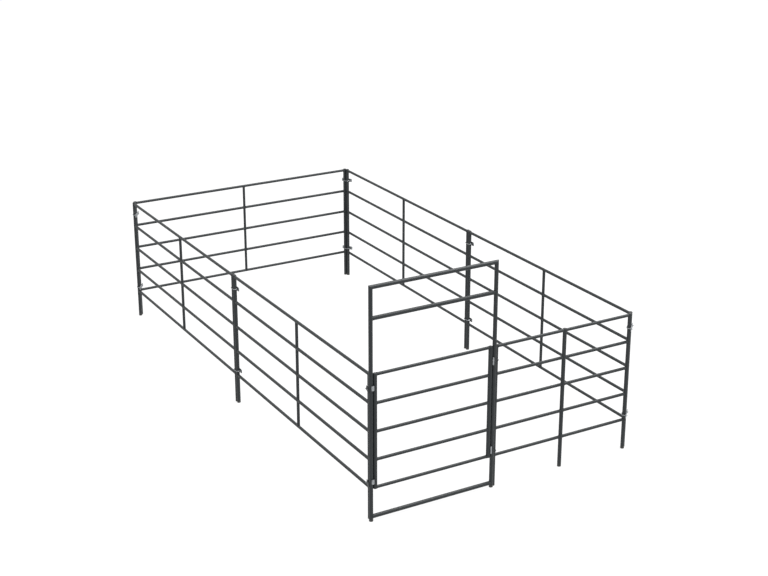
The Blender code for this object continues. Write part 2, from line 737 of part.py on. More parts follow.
def nut_at(x, y, flats, thickness, name):
    """Solid hexagon whose axis is the local Y and whose near face is at y."""
    bm = bmesh.new()
    turn = Matrix.Translation((x, y, 0.0)) @ Matrix.Rotation(-QUARTER, 4, "X")
    add_plate(bm, hexagon(flats), [], thickness, turn)
    return make_mesh(name, bm)


def clamp_sizes():
    """Plan sizes of a two-leg clamp: (rod offset along the pair, plate face, nut face, rod tip)."""
    rod_x = LEG_PAIR_PITCH / 2 + LEG_RADIUS + ROD_CLEARANCE + ROD_RADIUS
    plate_y = LEG_RADIUS + SEAT
    nut_y = plate_y + CLAMP_PLATE_THICKNESS + SEAT
    return rod_x, plate_y, nut_y, nut_y + CLAMP_NUT_THICKNESS + THREAD_PROUD


def u_bolt_mesh():
    """U-bolt round two legs, with its two nuts; X along the pair, nuts toward +Y."""
    rod_x, _, nut_y, tip = clamp_sizes()
    bend = LEG_RADIUS + ROD_CLEARANCE + ROD_RADIUS
    half = LEG_PAIR_PITCH / 2
    path = [(-rod_x, tip, 0.0)]
    path += bend_points(-half, bend, 180.0, 270.0)
    path += bend_points(half, bend, 270.0, 360.0)
    path += [(rod_x, tip, 0.0)]
    bm = bmesh.new()
    add_rod(bm, path, ROD_RADIUS, Z_AXIS)
    nuts = [nut_at(x, nut_y, CLAMP_NUT_FLATS, CLAMP_NUT_THICKNESS, "nut") for x in (-rod_x, rod_x)]
    return combine("u_bolt", make_mesh("u_bolt_rod", bm), nuts, "UNION")


def clamp_plate_mesh():
    """Flat plate that the two legs bear on, with a hole for each end of the U-bolt."""
    rod_x, plate_y, _, _ = clamp_sizes()
    outline = rounded_rectangle(CLAMP_PLATE_LENGTH, CLAMP_PLATE_HEIGHT, CLAMP_PLATE_CORNER)
    holes = [(x, 0.0, ROD_RADIUS + HOLE_CLEARANCE) for x in (-rod_x, rod_x)]
    stand = Matrix.Translation((0.0, plate_y, 0.0)) @ Matrix.Rotation(-QUARTER, 4, "X")
    bm = bmesh.new()
    add_plate(bm, outline, holes, CLAMP_PLATE_THICKNESS, stand)
    return make_mesh("clamp_plate", bm)


def ear_bolt_mesh():
    """Cross bolt through a panel leg and an ear, with its nut; the ear is toward +Y."""
    ear_outer = max(FRAME_RADIUS, LEG_RADIUS) + SEAT + EAR_THICKNESS
    head_y = -LEG_RADIUS - SEAT - EAR_BOLT_HEAD_THICKNESS
    nut_y = ear_outer + SEAT
    bm = bmesh.new()
    cuts = (square_end(), square_end())
    start = (0.0, head_y + EAR_BOLT_HEAD_THICKNESS / 2, 0.0)
    end = (0.0, nut_y + EAR_NUT_THICKNESS + THREAD_PROUD, 0.0)
    add_tube(bm, start, end, EAR_BOLT_DIAMETER / 2, Z_AXIS, cuts, ROD_SIDES, 0.5)
    head = nut_at(0.0, head_y, EAR_BOLT_HEAD_FLATS, EAR_BOLT_HEAD_THICKNESS, "head")
    nut = nut_at(0.0, nut_y, EAR_BOLT_HEAD_FLATS, EAR_NUT_THICKNESS, "nut")
    return combine("ear_bolt", make_mesh("ear_bolt_shank", bm), [head, nut], "UNION")


def build_fastenings(material):
    """Clamps at the five panel joints and cross bolts at the two frame posts."""
    middle_y = SIDE_SET_BACK + PANEL_LEG_PITCH + LEG_PAIR_PITCH / 2
    back_y = BACK_LINE_Y - BACK_PAIR_Y / 2
    front_y = FRONT_LINE_Y + FRONT_PAIR_Y / 2
    joints = [
        ("left_wall", (LEFT_SET_IN, middle_y), 0.0),
        ("right_wall", (RIGHT_LINE_X, middle_y), 0.0),
        ("back_left", (LEFT_SET_IN + BACK_PAIR_X / 2, back_y), BACK_PAIR_TURN - QUARTER),
        ("back_right", (RIGHT_LINE_X - BACK_PAIR_X / 2, back_y), QUARTER - BACK_PAIR_TURN),
        ("front_right", (RIGHT_LINE_X - FRONT_PAIR_X / 2, front_y), FRONT_PAIR_TURN - QUARTER),
    ]
    u_bolt = u_bolt_mesh()
    plate = clamp_plate_mesh()
    for name, (place_x, place_y), plate_side in joints:
        heading = plate_side - QUARTER
        for label, level in CLAMP_LEVELS.items():
            place = (place_x, place_y, level)
            add_node(f"{name}_{label}_u_bolt", u_bolt, material, None, place, heading)
            add_node(f"{name}_{label}_clamp_plate", plate, material, None, place, heading)
    ear_bolt = ear_bolt_mesh()
    ties = (
        ("latch_post", (LEFT_SET_IN, SIDE_SET_BACK), LATCH_EAR_HEADING),
        ("hinge_post", (FRONT_START_X, FRONT_LINE_Y), HINGE_EAR_HEADING),
    )
    for name, (place_x, place_y), heading in ties:
        for label, level in CLAMP_LEVELS.items():
            place = (place_x, place_y, level)
            add_node(f"{name}_{label}_ear_bolt", ear_bolt, material, None, place, heading)


def build_stall():
    """Build the whole stall."""
    clear_scene()
    paint = make_finish("charcoal_paint", (0.047, 0.052, 0.054), 0.45, 0.0)
    zinc = make_finish("zinc_plate", (0.43, 0.43, 0.45), 0.38, 1.0)
    build_panels(paint)
    build_gate_frame(paint)
    axis_x, axis_y = hinge_axis()
    hang = add_empty("gate_hang", (axis_x, axis_y, 0.0))
    build_gate_leaf(paint, hang)
    build_hinges(zinc, hang)
    build_turn_buttons(zinc)
    build_gate_stop(paint)
    build_fastenings(zinc)


build_stall()
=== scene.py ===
"""Looks of the portable livestock stall: fine tubes, welds, fasteners and finishes.

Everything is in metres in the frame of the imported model: the origin is at the foot of the gate
frame's latch post, X runs along the front wall, Y toward the back wall and Z up.
"""

from __future__ import annotations

import logging
import math
from collections.abc import Callable, Iterable, Sequence
from dataclasses import dataclass, field
from enum import Enum

import bmesh
import bpy
from mathutils import Matrix, Vector

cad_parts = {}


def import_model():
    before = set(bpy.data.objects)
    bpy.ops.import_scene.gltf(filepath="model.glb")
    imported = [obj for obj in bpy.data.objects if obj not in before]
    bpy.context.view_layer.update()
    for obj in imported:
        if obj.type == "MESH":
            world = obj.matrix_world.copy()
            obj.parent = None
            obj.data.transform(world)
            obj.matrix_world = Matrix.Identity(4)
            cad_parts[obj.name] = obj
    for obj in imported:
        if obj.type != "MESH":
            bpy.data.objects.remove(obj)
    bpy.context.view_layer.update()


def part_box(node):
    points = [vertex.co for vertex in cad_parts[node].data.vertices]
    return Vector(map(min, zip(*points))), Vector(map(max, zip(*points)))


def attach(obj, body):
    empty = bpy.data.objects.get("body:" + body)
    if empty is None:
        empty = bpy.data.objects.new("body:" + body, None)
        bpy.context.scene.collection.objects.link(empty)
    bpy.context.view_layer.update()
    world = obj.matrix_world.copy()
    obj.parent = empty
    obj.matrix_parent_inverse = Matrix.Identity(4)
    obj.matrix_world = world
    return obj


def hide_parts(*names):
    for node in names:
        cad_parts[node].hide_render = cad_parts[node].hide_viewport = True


LOG = logging.getLogger("stall")
MM = 0.001
QUARTER = math.pi / 2
STALL = "stall"
GATE = "gate"
BEAM = "gate_frame_beam"
ACROSS = Vector((0.0, 1.0, 0.0))
UP = Vector((0.0, 0.0, 1.0))
WHITE = (1.0, 1.0, 1.0, 1.0)

# Angles in degrees from which an edge stays sharp
TUBE_SHARP = 40.0
BEAD_SHARP = 60.0
PLATE_SHARP = 35.0
MACHINED_SHARP = 30.0

Mesh = bpy.types.Mesh
Socket = bpy.types.NodeSocket
Profile = list[tuple[float, float]]


class Slot(Enum):
    """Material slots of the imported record."""

    PANEL = "panel_paint"
    FRAME = "gate_frame_paint"
    GATE = "gate_paint"
    ZINC = "zinc"


# Colours and shader nodes


def linear(hex_code: str) -> tuple[float, float, float, float]:
    """Turn an sRGB hex value into a linear colour.

    Args:
        hex_code: Six hexadecimal digits, such as "3b3f41".

    Returns:
        Red, green, blue and alpha, linear, from 0 to 1.
    """
    parts = [int(hex_code[place : place + 2], 16) / 255 for place in (0, 2, 4)]
    red, green, blue = (
        part / 12.92 if part <= 0.04045 else ((part + 0.055) / 1.055) ** 2.4 for part in parts
    )
    return red, green, blue, 1.0


class Shading:
    """The node tree of a material or a world, with short ways to add what several share."""

    def __init__(self, owner: bpy.types.Material | bpy.types.World) -> None:
        """Empty the node tree.

        Args:
            owner: The material or the world whose tree it is.
        """
        owner.use_nodes = True
        self.owner = owner
        self.tree = owner.node_tree
        self.tree.nodes.clear()

    def add(
        self,
        kind: str,
        settings: dict[str, object] | None = None,
        inputs: dict[str | int, object] | None = None,
    ) -> bpy.types.Node:
        """Add a shader node, set it up and link it.

        Args:
            kind: Blender's name for the node's type, after "ShaderNode".
            settings: Attributes of the node and their values.
            inputs: Input sockets by name or number, each with a value or an output socket.

        Returns:
            The new node.
        """
        node = self.tree.nodes.new(f"ShaderNode{kind}")
        for name, value in (settings or {}).items():
            setattr(node, name, value)
        for name, value in (inputs or {}).items():
            if isinstance(value, Socket):
                self.tree.links.new(value, node.inputs[name])
            else:
                node.inputs[name].default_value = value
        return node

    def seen_directly(self) -> Socket:
        """Return the share of a ray that the camera, a gloss or a clear material sends out."""
        path = self.add("LightPath").outputs
        seen = path["Is Camera Ray"]
        for name in ("Is Transmission Ray", "Is Glossy Ray"):
            settings = {"operation": "ADD", "use_clamp": True}
            seen = self.add("Math", settings, {0: seen, 1: path[name]}).outputs[0]
        return seen

    @property
    def place(self) -> Socket:
        """Coordinates that are fixed to the piece, in metres."""
        return self.add("TexCoord").outputs["Object"]

    def noise(self, size: float, detail: float, roughness: float = 0.5) -> Socket:
        """Return noise that is fixed to the piece, its patches of a size in metres."""
        inputs = {"Vector": self.place, "Scale": 1 / size, "Detail": detail, "Roughness": roughness}
        return self.add("TexNoise", inputs=inputs).outputs["Fac"]

    def upright(self, name: str) -> Socket:
        """Return Z of the surface's Normal or Position."""
        source = self.add("NewGeometry").outputs[name]
        return self.add("SeparateXYZ", inputs={0: source}).outputs["Z"]

    def spread(
        self,
        value: Socket,
        before: tuple[float, float] = (0.0, 1.0),
        after: tuple[float, float] = (0.0, 1.0),
        smooth: bool = False,
    ) -> Socket:
        """Map a value from one range to another.

        Args:
            value: The value.
            before: The ends of the range that it comes from.
            after: The ends of the range that it goes to.
            smooth: Whether it eases in and out.

        Returns:
            The mapped value.
        """
        settings = {"interpolation_type": "SMOOTHSTEP" if smooth else "LINEAR"}
        names = ("From Min", "From Max", "To Min", "To Max")
        inputs = {"Value": value, **dict(zip(names, before + after))}
        return self.add("MapRange", settings, inputs).outputs[0]

    def rough(self, value: Socket, middle: float, less: float, more: float) -> Socket:
        """Return a roughness that follows a value, from less than a figure to more."""
        return self.spread(value, after=(middle - less, middle + more))

    def blend(self, share: Socket, first: str | Socket, second: str) -> Socket:
        """Blend two colours, each a hex value or a socket, by a share from 0 to 1."""
        start = linear(first) if isinstance(first, str) else first
        inputs = {"Factor": share, 6: start, 7: linear(second)}
        return self.add("Mix", {"data_type": "RGBA"}, inputs).outputs[2]

    def product(self, first: Socket, second: Socket) -> Socket:
        """Multiply two values."""
        return self.add("Math", {"operation": "MULTIPLY"}, {0: first, 1: second}).outputs[0]

    def finish(
        self, inputs: dict[str, object], relief: Socket, strength: float, depth: float
    ) -> bpy.types.Material:
        """Add the bump, the shader and the output.

        Args:
            inputs: The shader's inputs, apart from its normal.
            relief: Height of the fine relief.
            strength: How strongly the relief shows.
            depth: Depth of the relief in metres.

        Returns:
            The finished material.
        """
        levels = {"Strength": strength, "Distance": depth, "Height": relief}
        bump = self.add("Bump", inputs=levels)
        shader = self.add("BsdfPrincipled", inputs={**inputs, "Normal": bump.outputs["Normal"]})
        self.add("OutputMaterial", inputs={"Surface": shader.outputs["BSDF"]})
        return self.owner


@dataclass(frozen=True)
class PowderCoat:
    """Polyester powder coat, baked on drawn steel tube: satin, with a fine orange peel.

    To the eye it is a charcoal that stays near black on upright tubes and turns mid grey along
    the top of level ones; the colour is painted lighter, in patches, on faces that look up: partly
    painted highlight, partly fine dust.
    """

    name: str = "polyester_powder_coat_on_steel"
    colour: str = "2e3234"
    shade: str = "272b2d"
    # Light grey painted on faces that look up: painted highlight together with dust
    dust_and_highlight: str = "8f9290"
    soil: str = "6d675d"
    roughness: float = 0.46
    sheen: float = 0.30
    peel: float = 1.8 * MM
    peel_depth: float = 0.05 * MM
    clouding: float = 120 * MM
    patch: float = 25 * MM
    dust_and_highlight_share: float = 0.14
    dust_and_highlight_slope: tuple[float, float] = (0.1, 0.95)
    soil_share: float = 0.45
    soil_height: float = 45 * MM
    polish: float = 0.05
    wear: float = 0.09
    relief: float = 0.25

    def build(self) -> bpy.types.Material:
        """Build the coat's node tree.

        Returns:
            The material.
        """
        shading = Shading(bpy.data.materials.new(self.name))
        coat = shading.blend(shading.noise(self.clouding, 3.0), self.colour, self.shade)
        patches = shading.noise(self.patch, 5.0, 0.65)
        # Painted highlight together with dust: faces that look up are painted lighter, in patches
        slope = shading.upright("Normal")
        upward_dust_and_highlight = shading.spread(slope, self.dust_and_highlight_slope, (0.0, self.dust_and_highlight_share), smooth=True)
        dusted_and_highlit = shading.blend(shading.product(upward_dust_and_highlight, patches), coat, self.dust_and_highlight)
        # Soil rubs off on the lowest few centimetres of what stands on the ground
        height = shading.upright("Position")
        low = shading.spread(height, (self.soil_height, 0.0), (0.0, self.soil_share), smooth=True)
        colour = shading.blend(shading.product(low, patches), dusted_and_highlit, self.soil)
        gloss = shading.rough(patches, self.roughness, self.polish, self.wear)
        inputs = {
            "Base Color": colour,
            "Roughness": gloss,
            "Metallic": 0.0,
            "IOR": 1.5,
            "Specular IOR Level": self.sheen,
        }
        # The real peel is 1 to 2 mm across
        return shading.finish(inputs, shading.noise(self.peel, 2.0), self.relief, self.peel_depth)


@dataclass(frozen=True)
class ZincPlate:
    """Electro-plated zinc on cold-formed steel, blue-white passivated.

    To the eye it is a dull pale grey metal with a soft sheen, cloudy from handling, with
    darker grey in its corners and threads.
    """

    name: str = "zinc_plated_steel"
    colour: str = "a9acae"
    cloud: str = "7f8386"
    roughness: float = 0.42
    grain: float = 0.7 * MM
    grain_depth: float = 0.03 * MM
    clouding: float = 9 * MM
    cloudy: tuple[float, float] = (0.35, 0.7)
    polish: float = 0.08
    wear: float = 0.16
    relief: float = 0.3

    def build(self) -> bpy.types.Material:
        """Build the plating's node tree.

        Returns:
            The material.
        """
        shading = Shading(bpy.data.materials.new(self.name))
        cloud = shading.noise(self.clouding, 4.0, 0.6)
        colour = shading.blend(shading.spread(cloud, self.cloudy), self.colour, self.cloud)
        gloss = shading.rough(cloud, self.roughness, self.polish, self.wear)
        inputs = {"Base Color": colour, "Roughness": gloss, "Metallic": 1.0}
        return shading.finish(inputs, shading.noise(self.grain, 2.0), self.relief, self.grain_depth)


@dataclass(frozen=True)
class PlugPlastic:
    """Low-density polyethylene, moulded: the push-in plugs that close the legs' tops.

    To the eye it is a soft black with a fine moulded grain and no clear reflection.
    """

    name: str = "moulded_polyethylene"
    colour: str = "1d1f20"
    worn: str = "3a3c3c"
    roughness: float = 0.55
    grain: float = 0.9 * MM
    grain_depth: float = 0.04 * MM
    worn_patch: float = 1 / 60
    relief: float = 0.3

    def build(self) -> bpy.types.Material:
        """Build the plastic's node tree.

        Returns:
            The material.
        """
        shading = Shading(bpy.data.materials.new(self.name))
        colour = shading.blend(shading.noise(self.worn_patch, 4.0), self.colour, self.worn)
        cells = {"Vector": shading.place, "Scale": 1 / self.grain}
        grain = shading.add("TexVoronoi", inputs=cells).outputs["Distance"]
        inputs = {"Base Color": colour, "Roughness": self.roughness, "IOR": 1.51}
        return shading.finish(inputs, grain, self.relief, self.grain_depth)


@dataclass(frozen=True)
class Finish:
    """A material with the record's slot that it belongs to."""

    material: bpy.types.Material
    slot: Slot


class Finishes:
    """The finishes of the stall's parts, and the meshes that equal pieces share."""

    def __init__(self) -> None:
        """Build every material once."""
        coat = PowderCoat().build()
        self.panel, self.frame, self.gate = (
            Finish(coat, slot) for slot in (Slot.PANEL, Slot.FRAME, Slot.GATE)
        )
        self.zinc = Finish(ZincPlate().build(), Slot.ZINC)
        self.plug = Finish(PlugPlastic().build(), Slot.PANEL)
        self.meshes: dict[str, Mesh] = {}

    def once(self, name: str, make: Callable[[str], Mesh]) -> Mesh:
        """Return the mesh of a name, made when it is first asked for."""
        if name not in self.meshes:
            self.meshes[name] = make(name)
        return self.meshes[name]


# Meshes


def angles(count: int) -> list[float]:
    """Return the angles of the corners of a closed ring."""
    return [2 * math.pi * place / count for place in range(count)]


def circle(radius: float, count: int) -> Profile:
    """Return the corners of a closed ring."""
    return [(radius * math.cos(turn), radius * math.sin(turn)) for turn in angles(count)]


@dataclass
class Draft:
    """A mesh in the making: points and faces."""

    points: list[Vector] = field(default_factory=list)
    faces: list[tuple[int, ...]] = field(default_factory=list)

    def ring(self, points: Iterable[Vector]) -> list[int]:
        """Add points and return their numbers."""
        start = len(self.points)
        self.points.extend(points)
        return list(range(start, len(self.points)))

    def bridge(self, first: Sequence[int], second: Sequence[int]) -> None:
        """Join two closed rings of the same count with a band of faces."""
        count = len(first)
        for place in range(count):
            after = (place + 1) % count
            self.faces.append((first[place], first[after], second[after], second[place]))

    def fan(self, tip: int, ring: Sequence[int]) -> None:
        """Close a ring with triangles that meet at a tip."""
        count = len(ring)
        for place in range(count):
            self.faces.append((tip, ring[place], ring[(place + 1) % count]))

    def sweep(
        self, rings: Sequence[Iterable[Vector]], closed: bool = False, capped: bool = True
    ) -> None:
        """Skin a row of rings.

        Args:
            rings: Rings of points, all with the same count.
            closed: Whether the last ring joins the first.
            capped: Whether the two ends are closed with a face each.
        """
        numbers = [self.ring(points) for points in rings]
        for first, second in zip(numbers, numbers[1:]):
            self.bridge(first, second)
        if closed:
            self.bridge(numbers[-1], numbers[0])
        elif capped:
            self.faces += [tuple(numbers[0]), tuple(numbers[-1])]

    def turned(self, profile: Profile, place: Matrix, sides: int = 40) -> None:
        """Turn a profile round the Z axis of a matrix.

        Args:
            profile: Pairs of radius and height; a radius of 0 is a tip on the axis.
            place: The matrix whose Z axis is the axis of the turned form.
            sides: How many facets go round.
        """
        last: list[int] = []
        for radius, height in profile:
            corners = circle(radius, sides) if radius else [(0.0, 0.0)]
            ring = self.ring(place @ Vector((x, y, height)) for x, y in corners)
            if last and len(last) == len(ring):
                self.bridge(last, ring)
            elif last:
                self.fan(last[0], ring) if len(last) == 1 else self.fan(ring[0], last)
            last = ring

    def mesh(self, name: str, sharp: float = TUBE_SHARP) -> Mesh:
        """Turn the draft into a mesh, smooth but for its sharp edges.

        Args:
            name: Name of the mesh.
            sharp: Angle in degrees from which an edge stays sharp.

        Returns:
            The mesh.
        """
        mesh = bpy.data.meshes.new(name)
        mesh.from_pydata([tuple(point) for point in self.points], [], self.faces)
        work = bmesh.new()
        work.from_mesh(mesh)
        return close_up(work, mesh, sharp)


def close_up(work: bmesh.types.BMesh, mesh: Mesh, sharp: float) -> Mesh:
    """Turn the faces outward, write them to the mesh and shade it.

    Args:
        work: The faces; it is freed.
        mesh: The mesh that gets them.
        sharp: Angle in degrees from which an edge stays sharp.

    Returns:
        The mesh.
    """
    bmesh.ops.recalc_face_normals(work, faces=work.faces[:])
    work.to_mesh(mesh)
    work.free()
    mesh.shade_smooth()
    mesh.set_sharp_from_angle(angle=math.radians(sharp))
    return mesh


def axes(origin: Vector, along: Vector, across: Vector) -> Matrix:
    """Return the matrix whose X runs along one direction and whose Y is near another.

    Args:
        origin: Where the matrix stands.
        along: Direction of its X axis.
        across: Direction that its Y axis lies nearest to.

    Returns:
        A matrix with square, unit axes.
    """
    first = along.normalized()
    third = first.cross(across).normalized()
    second = third.cross(first)
    matrix = Matrix((first, second, third)).transposed().to_4x4()
    matrix.translation = origin
    return matrix


def put(
    name: str,
    mesh: Mesh,
    finish: Finish,
    node: str | None = None,
    place: Matrix | None = None,
    body: str = STALL,
    bevel: float = 0.0,
) -> None:
    """Place a piece, give it its finish and let it ride on its body.

    Args:
        name: Name of the piece.
        mesh: Its mesh, which other pieces may share.
        finish: Its finish.
        node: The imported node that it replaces, if any.
        place: Where it stands.
        body: The body that it moves with.
        bevel: Width of a bevel on its sharp edges.
    """
    piece = bpy.data.objects.new(name, mesh)
    bpy.context.scene.collection.objects.link(piece)
    if not mesh.materials:
        mesh.materials.append(finish.material)
    if place is not None:
        piece.matrix_world = place
    if bevel:
        edge = piece.modifiers.new("edge", "BEVEL")
        edge.width = bevel
        edge.segments = 2
        edge.limit_method = "ANGLE"
        edge.angle_limit = math.radians(50.0)
        edge.harden_normals = True
    bpy.context.view_layer.update()
    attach(piece, body)
    if node:
        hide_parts(node)
    LOG.info("%s: %d faces on %s", name, len(mesh.polygons), body)


def extent(node: str) -> tuple[Vector, Vector]:
    """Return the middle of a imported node's box and half of its size."""
    low, high = (Vector(corner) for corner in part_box(node))
    return (low + high) / 2, (high - low) / 2


def middle(node: str) -> Vector:
    """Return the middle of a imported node's box."""
    return extent(node)[0]


def chamfered(radius: float, half: float, edge: float, groove: float = 0.0) -> Profile:
    """Return the turned profile of a round bar.

    Args:
        radius: Radius of the bar.
        half: Half of its length.
        edge: Width of the chamfers at its ends.
        groove: Depth of a turned groove round its middle.

    Returns:
        Pairs of radius and height, from the lower end to the upper.
    """
    low = [(0.0, -half), (radius - edge, -half), (radius, -half + edge)]
    waist = [(radius, -2 * groove), (radius - groove, 0.0), (radius, 2 * groove)] if groove else []
    return low + waist + [(reach, -height) for reach, height in reversed(low)]


# Tubes and welds


@dataclass(frozen=True)
class Tube:
    """A round tube of the stall."""

    radius: float
    wall: float
    sides: int = 40
    overlap: float = 0.4 * MM

    def run(self, draft: Draft, start: Vector, end: Vector, mate: float) -> None:
        """Add a tube whose ends are coped round crossing tubes, which lie square to Y.

        Args:
            draft: The mesh that gets the tube.
            start: Point on the axis of the tube that it meets at its start.
            end: The same at its end.
            mate: Radius of the crossing tubes.
        """
        matrix = axes(start, end - start, ACROSS)
        rings = []
        for place, toward in ((0.0, 1.0), ((end - start).length, -1.0)):
            ring = []
            for across, up in circle(self.radius, self.sides):
                reach = max(math.sqrt(max(mate**2 - across**2, 0.0)) - self.overlap, 0.0)
                ring.append(matrix @ Vector((place + toward * reach, across, up)))
            rings.append(ring)
        draft.sweep(rings, capped=False)

    def foot_profile(self, bore_depth: float) -> Profile:
        """Return the turned profile of an open foot: the bore, the rim and its worn edges."""
        bore = self.radius - self.wall
        return [
            (0.0, bore_depth),
            (bore, bore_depth),
            (bore, 0.5 * MM),
            (bore + 0.5 * MM, 0.0),
            (self.radius - 0.7 * MM, 0.0),
            (self.radius - 0.2 * MM, 0.3 * MM),
            (self.radius, 0.9 * MM),
        ]


@dataclass(frozen=True)
class WeldBead:
    """A run of fillet weld round the foot of a branch tube, under the coat.

    The real ripples are about 2 mm apart; these are 4 mm apart so that they show. The seat says
    how far a pair of beads lies toward the carrying tube and to either side, in the bar's radii.
    """

    size: float = 2.4 * MM
    lap: float = 0.2
    sink: float = 1.2
    thin_end: float = 0.35
    ripple: float = 0.13
    steps: int = 44
    section: int = 7
    seat: tuple[float, float] = (0.86, 0.52)
    end_gap: float = 3 * MM

    def loop(self, draft: Draft, path: Callable[[float], Vector]) -> None:
        """Sweep a rippled bead along a closed path.

        Args:
            draft: The mesh that gets the bead.
            path: Gives a point of the path for an angle from 0 to a full turn.
        """
        rings = []
        for place, turn in enumerate(angles(self.steps)):
            along = (path(turn + 0.01) - path(turn - 0.01)).normalized()
            rings.append(self._section(path(turn), along, place))
        draft.sweep(rings, closed=True)

    def line(self, draft: Draft, start: Vector, end: Vector, steps: int = 16) -> None:
        """Sweep a rippled bead along a straight line, thin at both ends.

        Args:
            draft: The mesh that gets the bead.
            start: Where the bead starts.
            end: Where it ends.
            steps: How many ripples it has, counted singly.
        """
        along = (end - start).normalized()
        rings = []
        for place in range(steps + 1):
            share = place / steps
            taper = min(1.0, self.thin_end + 5 * min(share, 1 - share))
            rings.append(self._section(start.lerp(end, share), along, place, taper))
        draft.sweep(rings)

    def saddles(self, draft: Draft, start: Vector, end: Vector, branch: float, mate: float) -> None:
        """Lay a bead at both ends of a tube that runs between two crossing tubes.

        Args:
            draft: The mesh that gets the beads.
            start: Point on the axis of the tube that it meets at its start.
            end: The same at its end.
            branch: Radius of the tube.
            mate: Radius of the crossing tubes.
        """
        lift = self.lap * self.size
        wide = branch + lift
        outer = min(wide, mate)
        for foot, along in ((start, end - start), (end, start - end)):
            matrix = axes(foot, along, ACROSS)

            def path(turn: float, matrix: Matrix = matrix) -> Vector:
                """Return a point of the line where the two tubes meet."""
                across = outer * math.cos(turn)
                reach = math.sqrt(max(mate**2 - across**2, 0.0)) + lift
                return matrix @ Vector((reach, across, wide * math.sin(turn)))

            self.loop(draft, path)

    def pair(
        self, draft: Draft, centre: Vector, carrier: Vector, radius: float, half: float
    ) -> None:
        """Lay two upright beads where a round bar lies against the tube that carries it.

        Args:
            draft: The mesh that gets the beads.
            centre: Middle of the bar.
            carrier: A point on the tube's axis.
            radius: Radius of the bar.
            half: Half of its length.
        """
        toward = carrier - centre
        toward.z = 0.0
        toward.normalize()
        inward, aside = (radius * share for share in self.seat)
        rise = UP * (half - self.end_gap)
        for sign in (-1.0, 1.0):
            at = centre + toward * inward + UP.cross(toward) * (sign * aside)
            self.line(draft, at - rise, at + rise, self.steps)

    def _section(self, here: Vector, along: Vector, place: int, scale: float = 1.0) -> list[Vector]:
        """Return one ring of the bead, wide on odd steps and narrow on even ones."""
        radius = self.size * scale * (1 + self.ripple * (1 if place % 2 else -1)) / self.sink
        first = along.orthogonal().normalized()
        if abs(along.z) < 0.9:
            first = (UP - along * along.z).normalized()
        second = along.cross(first)
        return [here + first * x + second * y for x, y in circle(radius, self.section)]


LEG_TUBE = Tube(radius=20.5 * MM, wall=2.0 * MM, sides=48)
RAIL_TUBE = Tube(radius=16.0 * MM, wall=1.6 * MM)
BORE_DEPTH = 90 * MM


@dataclass(frozen=True)
class LegPlug:
    """Push-in plug with a low domed head that closes a leg's top."""

    head: float = 3.4 * MM
    rim_inset: float = 0.6 * MM

    def profile(self, radius: float, top: float) -> Profile:
        """Return the turned profile of the head, from its middle to its rim."""
        rim = radius - self.rim_inset
        curve = ((0.0, 0.0), (0.55, 0.2), (0.85, 0.8), (0.97, 1.7), (1.0, 2.6))
        dome = [(rim * share, top - drop * MM) for share, drop in curve]
        return dome + [(rim, top - self.head), (0.0, top - self.head)]


@dataclass(frozen=True)
class RailPattern:
    """Heights of the rails of a panel or of the gate."""

    bottom: float
    spacing: float
    count: int = 5

    @property
    def heights(self) -> list[float]:
        """Heights of the rails' axes above the ground."""
        return [self.bottom + self.spacing * place for place in range(self.count)]


